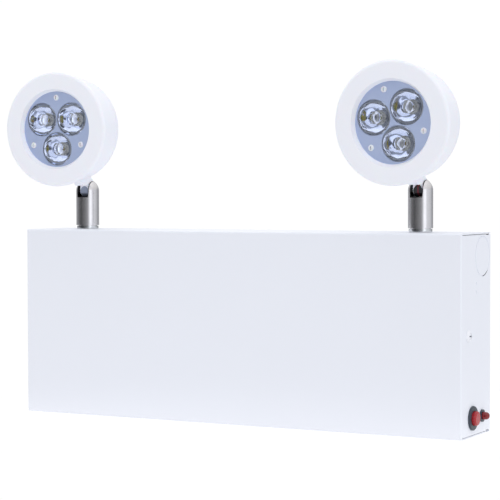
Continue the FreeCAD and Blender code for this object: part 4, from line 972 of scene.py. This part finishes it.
# ================================================================ floor, light and camera
def studio_floor():
    """A round pale floor of opal acrylic, lit evenly from below, under the cabinet."""
    mottled("floor_acrylic", "6a6a6c", "6e6e70", (1000 / 12, 2.0), gloss=0.9, shader={
        "Specular IOR Level": 0.0, "Emission Color": linear("ffffff"), "Emission Strength": 0.94})
    form = bmesh.new()
    bmesh.ops.create_circle(form, cap_ends=True, segments=96, radius=floor_radius,
                            matrix=Matrix.Translation((0, 0, -cabinet_top - 0.1 * mm)))
    mesh = mesh_of(form, "studio_floor")
    coat(mesh, "floor_acrylic")
    floor = bpy.data.objects.new("studio_floor", mesh)
    bpy.context.scene.collection.objects.link(floor)


def stops(ramp, places):
    """Sets a ramp's greys by their places along it."""
    marks = ramp.color_ramp.elements
    while len(marks) < len(places):
        marks.new(0.5)
    for mark, (where, grey) in zip(marks, places):
        mark.position = where
        mark.color = (grey, grey, grey, 1)


def studio_light():
    """A white room: bright overhead, a dark front near eye level, a tall soft light at the right.
    The camera sees plain white behind the light."""
    # the walls' brightness round the room, by degrees from straight ahead towards the right
    walls_round = ((-180, 0.6), (-150, 0.6), (-100, 0.45), (-70, 0.2), (-35, 0.05), (0, 0.17),
                   (30, 0.34), (44, 0.8), (55, 1.6), (70, 1.6), (82, 1.0), (120, 0.85),
                   (155, 0.45), (180, 0.45))
    brightest = 2.0
    world = bpy.data.worlds.new("studio")
    bpy.context.scene.world = world
    world.use_nodes = True
    tree = world.node_tree
    tree.nodes.clear()
    way = add(tree, "ShaderNodeSeparateXYZ", {0: add(tree, "ShaderNodeTexCoord").outputs[0]})
    front = add(tree, "ShaderNodeMath", {0: way.outputs["Y"], 1: -1.0}, operation="MULTIPLY")
    turn = add(tree, "ShaderNodeMath", {0: way.outputs["X"], 1: front}, operation="ARCTAN2")
    share = add(tree, "ShaderNodeMapRange", {"Value": turn, "From Min": -math.pi,
                                             "From Max": math.pi})
    walls = add(tree, "ShaderNodeValToRGB", {0: share})
    stops(walls, [((degrees + 180) / 360, grey / brightest) for degrees, grey in walls_round])
    wall_light = add(tree, "ShaderNodeMath", {0: walls.outputs[0], 1: brightest},
                     operation="MULTIPLY")
    # ceiling and floor: brighter at the left, the top and the front, dim below
    aside = add(tree, "ShaderNodeMath", {0: way.outputs["X"], 1: -0.08, 2: 0.92},
                operation="MULTIPLY_ADD")
    rise = add(tree, "ShaderNodeMath", {0: way.outputs["Z"], 1: 0.4, 2: aside},
               operation="MULTIPLY_ADD")
    ceiling = add(tree, "ShaderNodeMath", {0: front, 1: 0.15, 2: rise}, operation="MULTIPLY_ADD")
    below = add(tree, "ShaderNodeMapRange", {"Value": way.outputs["Z"], "From Min": -0.1,
                                             "From Max": -0.22}, interpolation_type="SMOOTHSTEP")
    bounce = add(tree, "ShaderNodeMath", {0: aside, 1: 0.1})
    dome_light = add(tree, "ShaderNodeMix", {0: below, 2: ceiling, 3: bounce},
                     data_type="FLOAT")
    # the walls show in a band near eye level only
    above = add(tree, "ShaderNodeMapRange", {"Value": way.outputs["Z"], "From Min": 0.1,
                                             "From Max": 0.32}, interpolation_type="SMOOTHSTEP")
    open_air = add(tree, "ShaderNodeMath", {0: above, 1: below}, operation="MAXIMUM")
    strength = add(tree, "ShaderNodeMix", {0: open_air, 2: wall_light, 3: dome_light},
                   data_type="FLOAT")
    shade = add(tree, "ShaderNodeMix", {0: open_air, 6: (0.96, 0.985, 1.03, 1),
                                        7: (1, 1, 1, 1)}, data_type="RGBA")
    seen = add(tree, "ShaderNodeLightPath").outputs["Is Camera Ray"]
    shown = add(tree, "ShaderNodeMix", {0: seen, 2: strength.outputs[0], 3: 1.02},
                data_type="FLOAT")
    tint = add(tree, "ShaderNodeMix", {0: seen, 6: shade.outputs[2], 7: (1, 1, 1, 1)},
               data_type="RGBA")
    light = add(tree, "ShaderNodeBackground", {"Color": tint.outputs[2],
                                               "Strength": shown.outputs[0]})
    add(tree, "ShaderNodeOutputWorld", {"Surface": light})


def studio_camera():
    """The camera, a long way off with a long lens, a little to the right and just above."""
    eye = Vector((0.548, -1.0547, 0.0912))
    yaw, pitch, roll = math.radians(27.96), math.radians(2.00), math.radians(0.11)
    data = bpy.data.cameras.new("camera")
    data.lens = 126.2
    data.sensor_width = 36.0
    data.clip_start, data.clip_end = 0.05, 60.0
    camera = bpy.data.objects.new("camera", data)
    bpy.context.scene.collection.objects.link(camera)
    camera.matrix_world = (Matrix.Translation(eye) @ Matrix.Rotation(yaw, 4, "Z")
                           @ Matrix.Rotation(math.pi / 2 - pitch, 4, "X")
                           @ Matrix.Rotation(-roll, 4, "Z"))
    bpy.context.scene.camera = camera


studio_floor()
studio_light()
studio_camera()
bpy.context.scene.view_settings.view_transform = "Standard"
